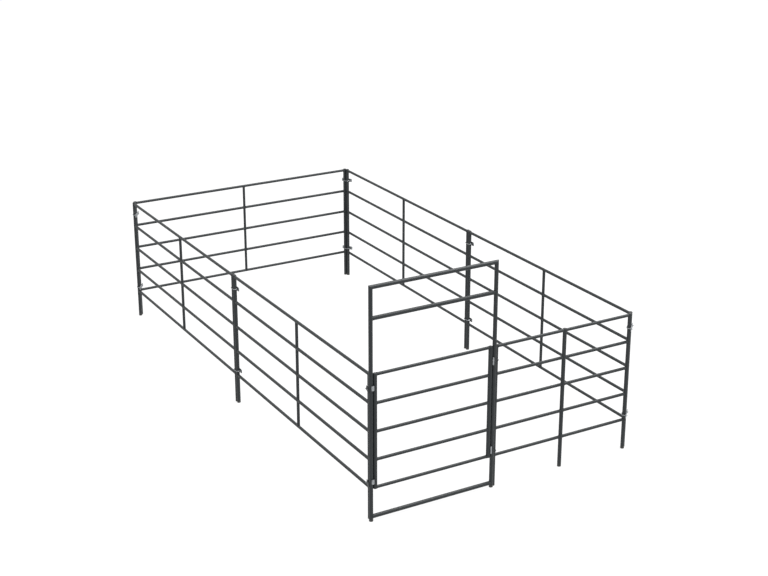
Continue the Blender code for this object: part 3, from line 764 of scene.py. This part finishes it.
@dataclass
class Panel:
    """One welded panel: two legs, five rails, and a stay or a third leg in the middle."""

    name: str
    finishes: Finishes
    full_middle_leg: bool = False
    tube: Tube = LEG_TUBE
    rail: Tube = RAIL_TUBE
    rails: RailPattern = RailPattern(bottom=0.332, spacing=0.291)
    bead: WeldBead = WeldBead()
    plug: LegPlug = LegPlug()

    def place(self) -> tuple[Matrix, float]:
        """Find the panel by its legs.

        Returns:
            The matrix at the near leg's foot with X along the panel, and the legs' pitch.
        """
        near, far = middle(f"{self.name}_near_leg"), middle(f"{self.name}_far_leg")
        near.z = far.z = 0.0
        along = far - near
        return axes(near, along, UP.cross(along)), along.length

    def leg_mesh(self, name: str, height: float) -> Mesh:
        """Build a leg of a height: an open foot, the tube and a turned-in top edge."""
        draft = Draft()
        top, radius = height - self.plug.head, self.tube.radius
        rim = [(radius, top - 0.6 * MM), (radius - 0.4 * MM, top), (0.0, top)]
        draft.turned(self.tube.foot_profile(BORE_DEPTH) + rim, Matrix.Identity(4), self.tube.sides)
        return draft.mesh(name)

    def plug_mesh(self, name: str, height: float) -> Mesh:
        """Build the head of the plug in the top of a leg of a height."""
        draft = Draft()
        draft.turned(self.plug.profile(self.tube.radius, height), Matrix.Identity(4))
        return draft.mesh(name)

    def runs(self, pitch: float) -> list[tuple[Vector, Vector]]:
        """Return both ends of each rail, which a full middle leg cuts in two."""
        stops = [0.0, pitch / 2, pitch] if self.full_middle_leg else [0.0, pitch]
        return [
            (Vector((first, 0.0, height)), Vector((second, 0.0, height)))
            for height in self.rails.heights
            for first, second in zip(stops, stops[1:])
        ]

    def stays(self, pitch: float) -> list[tuple[Vector, Vector]]:
        """Return both ends of each short stay between one rail and the next."""
        levels = [] if self.full_middle_leg else self.rails.heights
        joints = [Vector((pitch / 2, 0.0, level)) for level in levels]
        return list(zip(joints, joints[1:]))

    def tube_mesh(self, name: str, ends: Sequence[tuple[Vector, Vector]], mate: float) -> Mesh:
        """Build a row of coped tubes.

        Args:
            name: Name of the mesh.
            ends: Both ends of each tube, on the axes of the tubes that it meets.
            mate: Radius of the tubes that they meet.

        Returns:
            The mesh.
        """
        draft = Draft()
        for start, end in ends:
            self.rail.run(draft, start, end, mate)
        return draft.mesh(name)

    def bead_mesh(self, name: str, pitch: float) -> Mesh:
        """Build the weld beads at the legs and at the middle of the panel."""
        draft = Draft()
        branch = self.rail.radius
        for ends, mate in ((self.runs(pitch), self.tube.radius), (self.stays(pitch), branch)):
            for start, end in ends:
                self.bead.saddles(draft, start, end, branch, mate)
        return draft.mesh(name, BEAD_SHARP)

    def build(self) -> None:
        """Build and place the panel's pieces."""
        place, pitch = self.place()
        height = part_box(f"{self.name}_near_leg")[1][2]
        kind = "short" if self.full_middle_leg else "long"
        coat, once = self.finishes.panel, self.finishes.once
        leg = once("leg", lambda name: self.leg_mesh(name, height))
        plug = once("plug", lambda name: self.plug_mesh(name, height))

        def put_leg(side: str, along: float, node: str | None = None) -> None:
            """Place a leg and its plug."""
            where = place @ Matrix.Translation((along, 0.0, 0.0))
            put(f"{self.name}_{side}_tube", leg, coat, node, where)
            put(f"{self.name}_{side}_plug", plug, self.finishes.plug, place=where)

        put_leg("near_leg", 0.0, f"{self.name}_near_leg")
        put_leg("far_leg", pitch, f"{self.name}_far_leg")
        wide, narrow = self.tube.radius, self.rail.radius
        rails = once(f"{kind}_rails", lambda name: self.tube_mesh(name, self.runs(pitch), wide))
        put(f"{self.name}_rails", rails, coat, f"{self.name}_infill", place)
        beads = once(f"{kind}_beads", lambda name: self.bead_mesh(name, pitch))
        put(f"{self.name}_weld_beads", beads, coat, place=place)
        if self.full_middle_leg:
            put_leg("middle_leg", pitch / 2)
        else:
            stays = once("long_stays", lambda name: self.tube_mesh(name, self.stays(pitch), narrow))
            put(f"{self.name}_stays", stays, coat, place=place)


@dataclass(frozen=True)
class EarPlate:
    """Flat ear welded to a frame post beside the nearest panel leg."""

    height: float = 44 * MM
    thickness: float = 6 * MM
    overhang: float = 24 * MM
    root: float = 11 * MM
    seat: float = 0.3 * MM
    corner: float = 7 * MM
    edge: float = 0.7 * MM
    weld_gap: float = 2 * MM
    weld_inset: float = 1 * MM
    corner_steps: int = 4

    def build(
        self, draft: Draft, bead: WeldBead, reach: float, radius: float, level: float
    ) -> None:
        """Add the ear and its two welds, in the post's frame with X toward the leg.

        Args:
            draft: The mesh that gets the ear.
            bead: The weld.
            reach: Distance from the post's axis to the leg's.
            radius: Radius of the post.
            level: Height of the ear's middle.
        """
        inner, edge = radius + self.seat, self.edge
        outer = inner + self.thickness
        middle_x = (reach + self.overhang - self.root) / 2
        outline = self._outline(reach)
        inset = [
            (x - math.copysign(edge, x - middle_x), z - math.copysign(edge, z)) for x, z in outline
        ]
        layers = ((inset, inner), (outline, inner + edge), (outline, outer - edge), (inset, outer))
        draft.sweep([[Vector((x, y, level + z)) for x, z in corners] for corners, y in layers])
        rise = UP * (self.height / 2 - self.weld_gap)
        across = self.root - self.weld_inset
        for place in (-across, across):
            at = Vector((place, (math.sqrt(radius**2 - place**2) + inner) / 2, level))
            bead.line(draft, at - rise, at + rise)

    def _outline(self, reach: float) -> Profile:
        """Return the ear's outline, seen square on, with two rounded outer corners."""
        half = self.height / 2
        points = [(-self.root, -half), (-self.root, half)]
        end = reach + self.overhang
        for sign, first in ((1.0, QUARTER), (-1.0, 0.0)):
            for step in range(self.corner_steps + 1):
                turn = first - QUARTER * step / self.corner_steps
                x = end - self.corner + self.corner * math.cos(turn)
                points.append((x, sign * (half - self.corner) + self.corner * math.sin(turn)))
        return points


@dataclass
class GateFrame:
    """Walk-through frame: two tall posts, a mitred beam, a crossbar and a ground sill."""

    finishes: Finishes
    tube: Tube = LEG_TUBE
    bead: WeldBead = WeldBead()
    mitre_bead: WeldBead = WeldBead(size=1.6 * MM, steps=60)
    cross_bead: WeldBead = WeldBead(size=2.0 * MM, steps=56)
    stop_bead: WeldBead = WeldBead(size=1.8 * MM, steps=20, seat=(0.8, 0.75))
    ear: EarPlate = EarPlate()
    mitre_inset: float = 1.4 * MM
    cross_inset: float = 0.4 * MM
    stop_edge: float = 0.8 * MM
    stop_sides: int = 24

    def post_axes(self) -> tuple[Vector, Vector]:
        """Return the feet of the latch post and of the hinge post."""
        low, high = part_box(BEAM)
        reach = self.tube.radius
        return Vector((low[0] + reach, 0.0, 0.0)), Vector((high[0] - reach, 0.0, 0.0))

    def post(self, name: str, foot: Vector, outward: float, leg: str) -> None:
        """Build a post with its mitred top and its two ears.

        Args:
            name: Name of the post.
            foot: Where the post stands.
            outward: -1 where the gateway lies toward +X, and 1 where it lies toward -X.
            leg: The panel leg that the ears reach.
        """
        draft = Draft()
        level, sides = middle(BEAM).z, self.tube.sides
        draft.turned(self.tube.foot_profile(BORE_DEPTH), Matrix.Identity(4), sides)
        rim = range(len(draft.points) - sides, len(draft.points))
        corners = [draft.points[corner] for corner in rim]
        top = [Vector((x, y, level + outward * x)) for x, y, _ in corners]
        draft.bridge(list(rim), draft.ring(top))
        toward = middle(leg) - foot
        toward.z = 0.0
        ears = Draft()
        for label in ("lower", "upper"):
            bolt = middle(f"{name}_{label}_ear_bolt").z
            self.ear.build(ears, self.bead, toward.length, self.tube.radius, bolt)
        where = Matrix.Translation(foot)
        turned = Matrix.Rotation(math.atan2(toward.y, toward.x), 4, "Z")
        coat = self.finishes.frame
        put(f"{name}_tube", draft.mesh(f"{name}_tube"), coat, f"gate_{name}", where)
        put(f"{name}_ears", ears.mesh(f"{name}_ears", MACHINED_SHARP), coat, place=where @ turned)

    def beam(self, left: Vector, right: Vector) -> None:
        """Build the beam and the mitre welds at its two ends."""
        level, radius = middle(BEAM).z, self.tube.radius
        inset = radius - 0.3 * self.mitre_bead.size - self.mitre_inset
        rings = []
        welds = Draft()
        for foot, sign in ((left, -1.0), (right, 1.0)):

            def mitre(
                turn: float, radius: float = inset, foot: Vector = foot, sign: float = sign
            ) -> Vector:
                """Return a point of the mitred edge."""
                rise = radius * math.sin(turn)
                return Vector((foot.x + sign * rise, radius * math.cos(turn), level + rise))

            rings.append([mitre(turn, radius) for turn in angles(self.tube.sides)])
            self.mitre_bead.loop(welds, mitre)
        draft = Draft()
        draft.sweep(rings, capped=False)
        coat = self.finishes.frame
        put("gate_frame_beam_tube", draft.mesh("beam_tube"), coat, BEAM)
        put("gate_frame_mitre_welds", welds.mesh("mitre_welds", BEAD_SHARP), coat)

    def crosspiece(self, node: str, left: Vector, right: Vector) -> None:
        """Build a crosspiece coped between the posts, and its welds."""
        lift = UP * middle(node).z
        radius = self.tube.radius
        draft, welds = Draft(), Draft()
        self.tube.run(draft, left + lift, right + lift, radius)
        branch = radius - self.cross_inset
        self.cross_bead.saddles(welds, left + lift, right + lift, branch, radius)
        coat = self.finishes.frame
        put(f"{node}_tube", draft.mesh(f"{node}_tube"), coat, node)
        put(f"{node}_welds", welds.mesh(f"{node}_welds", BEAD_SHARP), coat)

    def stop(self) -> None:
        """Build the round-bar stop and the weld that holds it to the latch post."""
        centre, half = extent("gate_stop")
        draft = Draft()
        profile = chamfered(half.x, half.z, self.stop_edge)
        draft.turned(profile, Matrix.Translation(centre), self.stop_sides)
        # The latch post stands at the origin
        self.stop_bead.pair(draft, centre, Vector(), half.x, half.z)
        put("gate_stop_bar", draft.mesh("gate_stop_bar"), self.finishes.frame, "gate_stop")

    def build(self) -> None:
        """Build and place the whole frame."""
        left, right = self.post_axes()
        self.post("latch_post", left, -1.0, "left_front_panel_near_leg")
        self.post("hinge_post", right, 1.0, "front_panel_near_leg")
        self.beam(left, right)
        self.crosspiece("gate_frame_crossbar", left, right)
        self.crosspiece("gate_frame_sill", left, right)
        self.stop()


@dataclass
class GateLeaf:
    """The hung gate: two stiles with domed ends and five coped rails."""

    finishes: Finishes
    stile: Tube = LEG_TUBE
    rail: Tube = RAIL_TUBE
    rails: RailPattern = RailPattern(bottom=0.348, spacing=0.290)
    bead: WeldBead = WeldBead()
    dome: float = 9 * MM
    dome_steps: int = 8

    def stile_profile(self, low: float, high: float) -> Profile:
        """Return the turned profile of a stile with its welded, domed ends."""
        curve = [(0.0, 0.0)]
        for step in range(1, self.dome_steps + 1):
            turn = QUARTER * step / self.dome_steps
            curve.append((self.stile.radius * math.sin(turn), self.dome * (1 - math.cos(turn))))
        below = [(radius, low + rise) for radius, rise in curve]
        return below + [(radius, high - rise) for radius, rise in reversed(curve)]

    def build(self) -> None:
        """Build and place the gate."""
        low, high = (Vector(corner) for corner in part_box("gate_leaf"))
        plane, radius = (low.y + high.y) / 2, self.stile.radius
        left, right = Vector((low.x + radius, plane, 0.0)), Vector((high.x - radius, plane, 0.0))
        stiles, rails, beads = Draft(), Draft(), Draft()
        profile = self.stile_profile(low.z, high.z)
        for foot in (left, right):
            stiles.turned(profile, Matrix.Translation(foot), self.stile.sides)
        for height in self.rails.heights:
            start, end = left + UP * height, right + UP * height
            self.rail.run(rails, start, end, radius)
            self.bead.saddles(beads, start, end, self.rail.radius, radius)
        coat = self.finishes.gate
        put("gate_stiles", stiles.mesh("gate_stiles"), coat, "gate_leaf", body=GATE)
        put("gate_rails", rails.mesh("gate_rails"), coat, body=GATE)
        put("gate_weld_beads", beads.mesh("gate_weld_beads", BEAD_SHARP), coat, body=GATE)


@dataclass
class BarrelHinge:
    """Weld-on hinge: a barrel on the post, a barrel on the gate, and the pin between them."""

    label: str
    finishes: Finishes
    radius: float = 9 * MM
    edge: float = 1.5 * MM
    groove: float = 0.5 * MM
    pin_radius: float = 5 * MM
    pin_edge: float = 0.8 * MM
    pin_sides: int = 24
    bead: WeldBead = WeldBead(size=1.5 * MM, steps=18)

    def barrel(self, side: str, body: str, carrier: Vector) -> None:
        """Build a turned barrel and the weld that holds it to its tube.

        Args:
            side: What carries the barrel: post or gate.
            body: The body that it moves with.
            carrier: A point on the axis of the tube that carries it.
        """
        node, name = f"{self.label}_hinge_{side}_barrel", f"{self.label}_{side}_barrel"
        centre, half = extent(node)
        draft, welds = Draft(), Draft()
        profile = chamfered(self.radius, half.z, self.edge, self.groove)
        draft.turned(profile, Matrix.Translation(centre))
        self.bead.pair(welds, centre, carrier, self.radius, half.z)
        coat = self.finishes.gate if body == GATE else self.finishes.frame
        put(f"{name}_turned", draft.mesh(name), self.finishes.zinc, node, body=body)
        put(f"{name}_weld", welds.mesh(f"{name}_weld", BEAD_SHARP), coat, body=body)

    def build(self) -> None:
        """Build and place the hinge."""
        for side, body, tube in (("post", STALL, BEAM), ("gate", GATE, "gate_leaf")):
            carrier = Vector((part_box(tube)[1][0] - LEG_TUBE.radius, middle(BEAM).y, 0.0))
            self.barrel(side, body, carrier)
        pin = f"{self.label}_hinge_pin"
        centre, half = extent(pin)
        draft = Draft()
        profile = chamfered(self.pin_radius, half.z, self.pin_edge)
        draft.turned(profile, Matrix.Translation(centre), self.pin_sides)
        put(f"{pin}_turned", draft.mesh(f"{pin}_turned"), self.finishes.zinc, pin)


# Fasteners


@dataclass(frozen=True)
class HexForm:
    """A hexagon nut or bolt head with its corners turned off."""

    flats: float
    thickness: float
    sides: int = 48
    face_share: float = 0.96

    def add(self, draft: Draft, x: float, y: float, sign: float = 1.0) -> None:
        """Add the hexagon, whose axis lies along Y.

        Args:
            draft: The mesh that gets it.
            x: X of its axis.
            y: Y of its near face.
            sign: 1 where it rises toward +Y, and -1 toward -Y.
        """
        place = Matrix.Translation((x, y, 0.0)) @ Matrix.Rotation(-sign * QUARTER, 4, "X")
        twelfth = math.radians(30.0)
        half = self.flats / 2
        face = half * self.face_share
        cut = (half / math.cos(twelfth) - face) * math.tan(twelfth)
        low = [0.0, cut * 0.4, cut]
        heights = low + [self.thickness - height for height in reversed(low)]
        rings = []
        for height in heights:
            limit = face + min(height, self.thickness - height) / math.tan(twelfth)
            ring = []
            for turn in angles(self.sides):
                offset = (turn + twelfth) % (2 * twelfth) - twelfth
                radius = min(half / math.cos(offset), limit)
                corner = Vector((radius * math.cos(turn), radius * math.sin(turn), height))
                ring.append(place @ corner)
            rings.append(ring)
        draft.sweep(rings)


@dataclass(frozen=True)
class RodThread:
    """A rolled thread, drawn as grooves rather than a helix."""

    radius: float
    pitch: float = 1.25 * MM
    depth: float = 0.45 * MM

    def points(self, x: float, tip: float, length: float) -> list[tuple[float, float, float]]:
        """Return X, Y and radius along a thread that points to +Y, from its tip."""
        out = [(x, tip, self.radius - 2 * self.depth)]
        for step in range(1, int(length / self.pitch * 2) + 1):
            radius = self.radius if step % 2 else self.radius - self.depth
            out.append((x, tip - step * self.pitch / 2, radius))
        return out


def sweep_rod(draft: Draft, path: Sequence[tuple[float, float, float]], sides: int) -> None:
    """Add a round rod that lies level.

    Args:
        draft: The mesh that gets the rod.
        path: X, Y and radius at the points of its axis.
        sides: How many facets go round.
    """
    points = [Vector((x, y, 0.0)) for x, y, _ in path]
    rings = []
    for place, (point, spot) in enumerate(zip(points, path)):
        before, after = points[max(place - 1, 0)], points[min(place + 1, len(points) - 1)]
        across = (after - before).normalized().cross(UP)
        rings.append([point + across * x + UP * y for x, y in circle(spot[2], sides)])
    draft.sweep(rings)


@dataclass(frozen=True)
class FlatPlate:
    """A drilled flat plate with rounded corners that stands in the XZ plane."""

    width: float
    height: float
    hole: float
    thickness: float = 6 * MM
    corner: float = 6 * MM
    corner_steps: int = 5
    hole_sides: int = 24

    def mesh(self, name: str, near: float, holes: Sequence[float], drop: float = 0.0) -> Mesh:
        """Build the plate.

        Args:
            name: Name of the mesh.
            near: Y of the plate's near face.
            holes: X of each hole, at a height of 0.
            drop: How far the plate's middle lies below its holes.

        Returns:
            The mesh.
        """
        half_x, half_z = self.width / 2 - self.corner, self.height / 2 - self.corner
        outline = []
        for place, (sign_x, sign_z) in enumerate(((1, 1), (-1, 1), (-1, -1), (1, -1))):
            for step in range(self.corner_steps + 1):
                turn = QUARTER * (place + step / self.corner_steps)
                x = sign_x * half_x + self.corner * math.cos(turn)
                outline.append((x, sign_z * half_z - drop + self.corner * math.sin(turn)))
        work = bmesh.new()
        edges = []
        rim = circle(self.hole, self.hole_sides)
        rims = [[(x + across, up) for across, up in rim] for x in holes]
        for loop in [outline] + rims:
            corners = [work.verts.new((x, near, z)) for x, z in loop]
            before = corners[-1:] + corners[:-1]
            edges += [work.edges.new(pair) for pair in zip(corners, before)]
        bmesh.ops.triangle_fill(work, edges=edges, use_beauty=True)
        bmesh.ops.dissolve_limit(work, angle_limit=0.01, verts=work.verts[:], edges=work.edges[:])
        raised = bmesh.ops.extrude_face_region(work, geom=work.faces[:])
        moved = [item for item in raised["geom"] if isinstance(item, bmesh.types.BMVert)]
        bmesh.ops.translate(work, verts=moved, vec=(0.0, self.thickness, 0.0))
        return close_up(work, bpy.data.meshes.new(name), PLATE_SHARP)


@dataclass
class LegClamp:
    """U-bolt round two panel legs, with a flat plate behind them and two nuts."""

    name: str
    legs: tuple[str, str]
    finishes: Finishes
    rod: float = 4.0 * MM
    clearance: float = 0.5 * MM
    seat: float = 0.3 * MM
    plate: FlatPlate = FlatPlate(width=150 * MM, height=44 * MM, hole=4.6 * MM)
    thread_proud: float = 5 * MM
    thread_length: float = 22 * MM
    nut: HexForm = HexForm(flats=13 * MM, thickness=6.5 * MM)
    leg: Tube = LEG_TUBE
    bend_steps: int = 9
    rod_sides: int = 18
    plate_edge: float = 0.7 * MM

    def place(self, node: str) -> tuple[Matrix, float]:
        """Find the clamp by its legs and its plate.

        Args:
            node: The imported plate.

        Returns:
            The matrix between the legs with X along the pair and Y toward the plate, and the
            pitch of the two legs.
        """
        first, second = (middle(leg) for leg in self.legs)
        centre = (first + second) / 2
        centre.z = middle(node).z
        along = second - first
        along.z = 0.0
        toward = UP.cross(along)
        if toward.dot(middle(node) - centre) < 0:
            along, toward = -along, -toward
        return axes(centre, along, toward), along.length

    def u_bolt_mesh(self, name: str, pitch: float) -> Mesh:
        """Build the U-bolt with its threads and nuts, for legs of a pitch."""
        bend = self.leg.radius + self.clearance + self.rod
        arm = pitch / 2 + bend
        nut_y = self.leg.radius + self.seat + self.plate.thickness + self.seat
        tip = nut_y + self.nut.thickness + self.thread_proud
        half = RodThread(self.rod).points(-arm, tip, self.thread_length)
        for step in range(self.bend_steps + 1):
            turn = math.pi + QUARTER * step / self.bend_steps
            half.append((-pitch / 2 + bend * math.cos(turn), bend * math.sin(turn), self.rod))
        draft = Draft()
        mirrored = [(-x, y, radius) for x, y, radius in reversed(half)]
        sweep_rod(draft, half + mirrored, self.rod_sides)
        for x in (-arm, arm):
            self.nut.add(draft, x, nut_y)
        return draft.mesh(name, MACHINED_SHARP)

    def plate_mesh(self, name: str, pitch: float) -> Mesh:
        """Build the plate with its two holes, for legs of a pitch."""
        arm = pitch / 2 + self.leg.radius + self.clearance + self.rod
        return self.plate.mesh(name, self.leg.radius + self.seat, (-arm, arm))

    def build(self) -> None:
        """Build and place the upper and the lower clamp."""
        zinc, once = self.finishes.zinc, self.finishes.once
        for label in ("lower", "upper"):
            plate, bolt = f"{self.name}_{label}_clamp_plate", f"{self.name}_{label}_u_bolt"
            place, pitch = self.place(plate)
            rod = once("u_bolt_with_nuts", lambda name, pitch=pitch: self.u_bolt_mesh(name, pitch))
            put(f"{bolt}_with_nuts", rod, zinc, bolt, place)
            back = once("clamp_plate", lambda name, pitch=pitch: self.plate_mesh(name, pitch))
            put(f"{plate}_drilled", back, zinc, plate, place, bevel=self.plate_edge)


@dataclass
class EarBolt:
    """Cross bolt through a panel leg and an ear, with its nut."""

    post: str
    leg_node: str
    finishes: Finishes
    shank: float = 5.0 * MM
    seat: float = 0.3 * MM
    thread_proud: float = 5 * MM
    thread_length: float = 20 * MM
    thread_pitch: float = 1.5 * MM
    head: HexForm = HexForm(flats=16 * MM, thickness=6.4 * MM)
    nut: HexForm = HexForm(flats=16 * MM, thickness=8 * MM)
    ear: EarPlate = EarPlate()
    leg: Tube = LEG_TUBE
    sides: int = 20
    head_overlap: float = 1 * MM

    def mesh(self, name: str) -> Mesh:
        """Build the bolt along Y, its head at -Y and its nut at +Y."""
        head_y = -self.leg.radius - self.seat
        nut_y = self.leg.radius + self.seat + self.ear.thickness + self.seat
        tip = nut_y + self.nut.thickness + self.thread_proud
        path = RodThread(self.shank, self.thread_pitch).points(0.0, tip, self.thread_length)
        draft = Draft()
        sweep_rod(draft, path + [(0.0, head_y - self.head_overlap, self.shank)], self.sides)
        self.head.add(draft, 0.0, head_y, -1.0)
        self.nut.add(draft, 0.0, nut_y)
        return draft.mesh(name, MACHINED_SHARP)

    def build(self, post_foot: Vector) -> None:
        """Build and place the upper and the lower bolt.

        Args:
            post_foot: Where the frame post stands.
        """
        leg = middle(self.leg_node)
        along = leg - post_foot
        along.z = 0.0
        bolt = self.finishes.once("ear_bolt_with_nut", self.mesh)
        for label in ("lower", "upper"):
            node = f"{self.post}_{label}_ear_bolt"
            place = axes(Vector((leg.x, leg.y, middle(node).z)), along, UP.cross(along))
            put(f"{node}_with_nut", bolt, self.finishes.zinc, node, place)


@dataclass
class TurnButton:
    """Turn button on the latch post: a boss, a flat button and its headed stud."""

    label: str
    finishes: Finishes
    plate: FlatPlate = FlatPlate(width=28 * MM, height=50 * MM, hole=5.6 * MM)
    seat: float = 0.3 * MM
    stud: float = 5 * MM
    stud_head: float = 10 * MM
    head_height: float = 6 * MM
    head_rim: float = 1 * MM
    crown: float = 0.55
    dome_steps: int = 6
    plate_edge: float = 0.8 * MM
    boss: float = 9 * MM
    boss_edge: float = 0.6 * MM
    boss_sink: float = 4 * MM
    sides: int = 36

    def button_mesh(self, name: str) -> Mesh:
        """Build the button, hanging from its hole, its back toward +Y."""
        drop = (self.plate.height - self.plate.width) / 2
        return self.plate.mesh(name, -self.seat - self.plate.thickness, (0.0,), drop)

    def stud_mesh(self, name: str) -> Mesh:
        """Build the stud with its domed head, toward -Y."""
        under = self.seat + self.plate.thickness + self.seat
        neck = [(0.0, self.seat), (self.stud, self.seat)]
        profile = neck + [(self.stud, under), (self.stud_head, under)]
        dome = self.head_height - self.head_rim
        for step in range(self.dome_steps + 1):
            turn = QUARTER * step / self.dome_steps
            radius = self.stud_head * (self.crown + (1 - self.crown) * math.cos(turn))
            profile.append((radius, under + self.head_rim + dome * math.sin(turn)))
        profile.append((0.0, under + self.head_height))
        draft = Draft()
        draft.turned(profile, Matrix.Rotation(QUARTER, 4, "X"), self.sides)
        return draft.mesh(name, PLATE_SHARP)

    def boss_mesh(self, name: str, front: float) -> Mesh:
        """Build the boss, from its front face back to the post's axis at a distance."""
        radius, edge = self.boss, self.boss_edge
        side = [(radius, edge), (radius, front - self.boss_sink)]
        profile = [(0.0, 0.0), (radius - edge, 0.0)] + side
        draft = Draft()
        draft.turned(profile, Matrix.Rotation(-QUARTER, 4, "X"), self.sides)
        return draft.mesh(name)

    def build(self) -> None:
        """Build and place the button, its stud and its boss."""
        zinc, once = self.finishes.zinc, self.finishes.once
        button, stud = f"{self.label}_turn_button", f"{self.label}_button_stud"
        pivot = middle(stud)
        pivot.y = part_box(stud)[1][1] + self.seat
        place = Matrix.Translation(pivot)
        plate = once("turn_button", self.button_mesh)
        body = f"{self.label}_button"
        put(f"{button}_plate", plate, zinc, button, place, body, self.plate_edge)
        put(f"{stud}_domed", once("button_stud", self.stud_mesh), zinc, stud, place)
        boss = once("button_boss", lambda name: self.boss_mesh(name, -pivot.y))
        put(f"{self.label}_button_boss", boss, self.finishes.frame, place=place)


# Studio


@dataclass(frozen=True)
class Softbox:
    """An area lamp that looks at the middle of the stall."""

    name: str
    at: tuple[float, float, float]
    size: tuple[float, float]
    power: float
    aim: tuple[float, float, float] = (1.5, 3.0, 0.8)

    def build(self) -> None:
        """Hang the lamp."""
        data = bpy.data.lights.new(self.name, "AREA")
        data.shape = "RECTANGLE"
        data.size, data.size_y = self.size
        data.energy = self.power
        lamp = bpy.data.objects.new(self.name, data)
        lamp.location = self.at
        sight = Vector(self.aim) - Vector(self.at)
        lamp.rotation_euler = sight.to_track_quat("-Z", "Y").to_euler()
        bpy.context.scene.collection.objects.link(lamp)


@dataclass
class Studio:
    """Camera, floor, world and lamps."""

    lens: float = 69.0690
    sensor: float = 36.0
    sight: float = 200.0
    eye: tuple[float, float, float] = (-6.04012, -10.78041, 7.02188)
    tilt: float = 70.5825
    heading: float = -29.8297
    shift: float = -32 / 768
    sky: float = 0.5
    sky_tint: tuple[float, float, float, float] = (0.96, 0.98, 1.0, 1.0)
    floor_size: float = 120.0
    floor_drop: float = 0.5 * MM
    floor_glow: float = 0.93
    floor_matt: float = 0.8
    floor_shade: float = 0.14
    lamps: tuple[Softbox, ...] = (
        # The long one lights the tops of tubes along X and leaves those along Y dark
        Softbox("high_strip_softbox", (11.3, -0.3, 20.2), (14.0, 5.0), 4800.0),
        Softbox("front_softbox", (-9.0, -14.0, 9.0), (8.0, 8.0), 500.0),
    )

    def camera(self) -> None:
        """Stand the camera where the photograph was taken from."""
        data = bpy.data.cameras.new("photo_camera")
        data.lens = self.lens
        data.sensor_width = self.sensor
        data.sensor_fit = "HORIZONTAL"
        data.shift_y = self.shift
        data.clip_end = self.sight
        camera = bpy.data.objects.new("photo_camera", data)
        camera.location = self.eye
        camera.rotation_euler = (math.radians(self.tilt), 0.0, math.radians(self.heading))
        bpy.context.scene.collection.objects.link(camera)
        bpy.context.scene.camera = camera

    def world(self) -> None:
        """Light evenly from all round, and show white behind the object."""
        world = bpy.data.worlds.new("pale_sky")
        shading = Shading(world)
        seen = shading.seen_directly()
        glow, white = (
            shading.add("Background", inputs={"Color": colour, "Strength": strength}).outputs[0]
            for colour, strength in ((self.sky_tint, self.sky), (WHITE, 1.0))
        )
        mix = shading.add("MixShader", inputs={0: seen, 1: glow, 2: white})
        shading.add("OutputWorld", inputs={"Surface": mix.outputs[0]})
        bpy.context.scene.world = world

    def floor(self) -> None:
        """Lay a white floor that shows white and keeps a faint shadow."""
        half = self.floor_size / 2
        square = ((-half, -half), (half, -half), (half, half), (-half, half))
        draft = Draft()
        draft.faces.append(tuple(draft.ring(Vector((x, y, -self.floor_drop)) for x, y in square)))
        mesh = draft.mesh("studio_floor")
        material = bpy.data.materials.new("white_seamless_paper")
        shading = Shading(material)
        seen = shading.seen_directly()
        matt, lit = (
            shading.add("BsdfDiffuse", inputs={"Color": (tone, tone, tone, 1.0)}).outputs[0]
            for tone in (self.floor_matt, self.floor_shade)
        )
        glow = shading.add("Emission", inputs={"Color": WHITE, "Strength": self.floor_glow})
        shown = shading.add("AddShader", inputs={0: glow.outputs[0], 1: lit})
        mix = shading.add("MixShader", inputs={0: seen, 1: matt, 2: shown.outputs[0]})
        shading.add("OutputMaterial", inputs={"Surface": mix.outputs[0]})
        mesh.materials.append(material)
        floor = bpy.data.objects.new("studio_floor", mesh)
        bpy.context.scene.collection.objects.link(floor)

    def build(self) -> None:
        """Set up the whole studio."""
        self.camera()
        self.world()
        self.floor()
        for lamp in self.lamps:
            lamp.build()
        bpy.context.scene.view_settings.view_transform = "Standard"


def main() -> None:
    """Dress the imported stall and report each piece."""
    logging.basicConfig(level=logging.INFO, format="%(name)s: %(message)s")
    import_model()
    Studio().build()
    finishes = Finishes()
    for name in ("left_front", "left_rear", "right_front", "right_rear", "back"):
        Panel(f"{name}_panel", finishes).build()
    Panel("front_panel", finishes, full_middle_leg=True).build()
    frame = GateFrame(finishes)
    frame.build()
    GateLeaf(finishes).build()
    for label in ("lower", "upper"):
        BarrelHinge(label, finishes).build()
        TurnButton(label, finishes).build()
    pairs = {
        "left_wall": ("left_front_panel_far_leg", "left_rear_panel_near_leg"),
        "right_wall": ("right_front_panel_far_leg", "right_rear_panel_near_leg"),
        "back_left": ("left_rear_panel_far_leg", "back_panel_near_leg"),
        "back_right": ("right_rear_panel_far_leg", "back_panel_far_leg"),
        "front_right": ("front_panel_far_leg", "right_front_panel_near_leg"),
    }
    for name, legs in pairs.items():
        LegClamp(name, legs, finishes).build()
    left, right = frame.post_axes()
    EarBolt("latch_post", "left_front_panel_near_leg", finishes).build(left)
    EarBolt("hinge_post", "front_panel_near_leg", finishes).build(right)


if __name__ == "__main__":
    main()
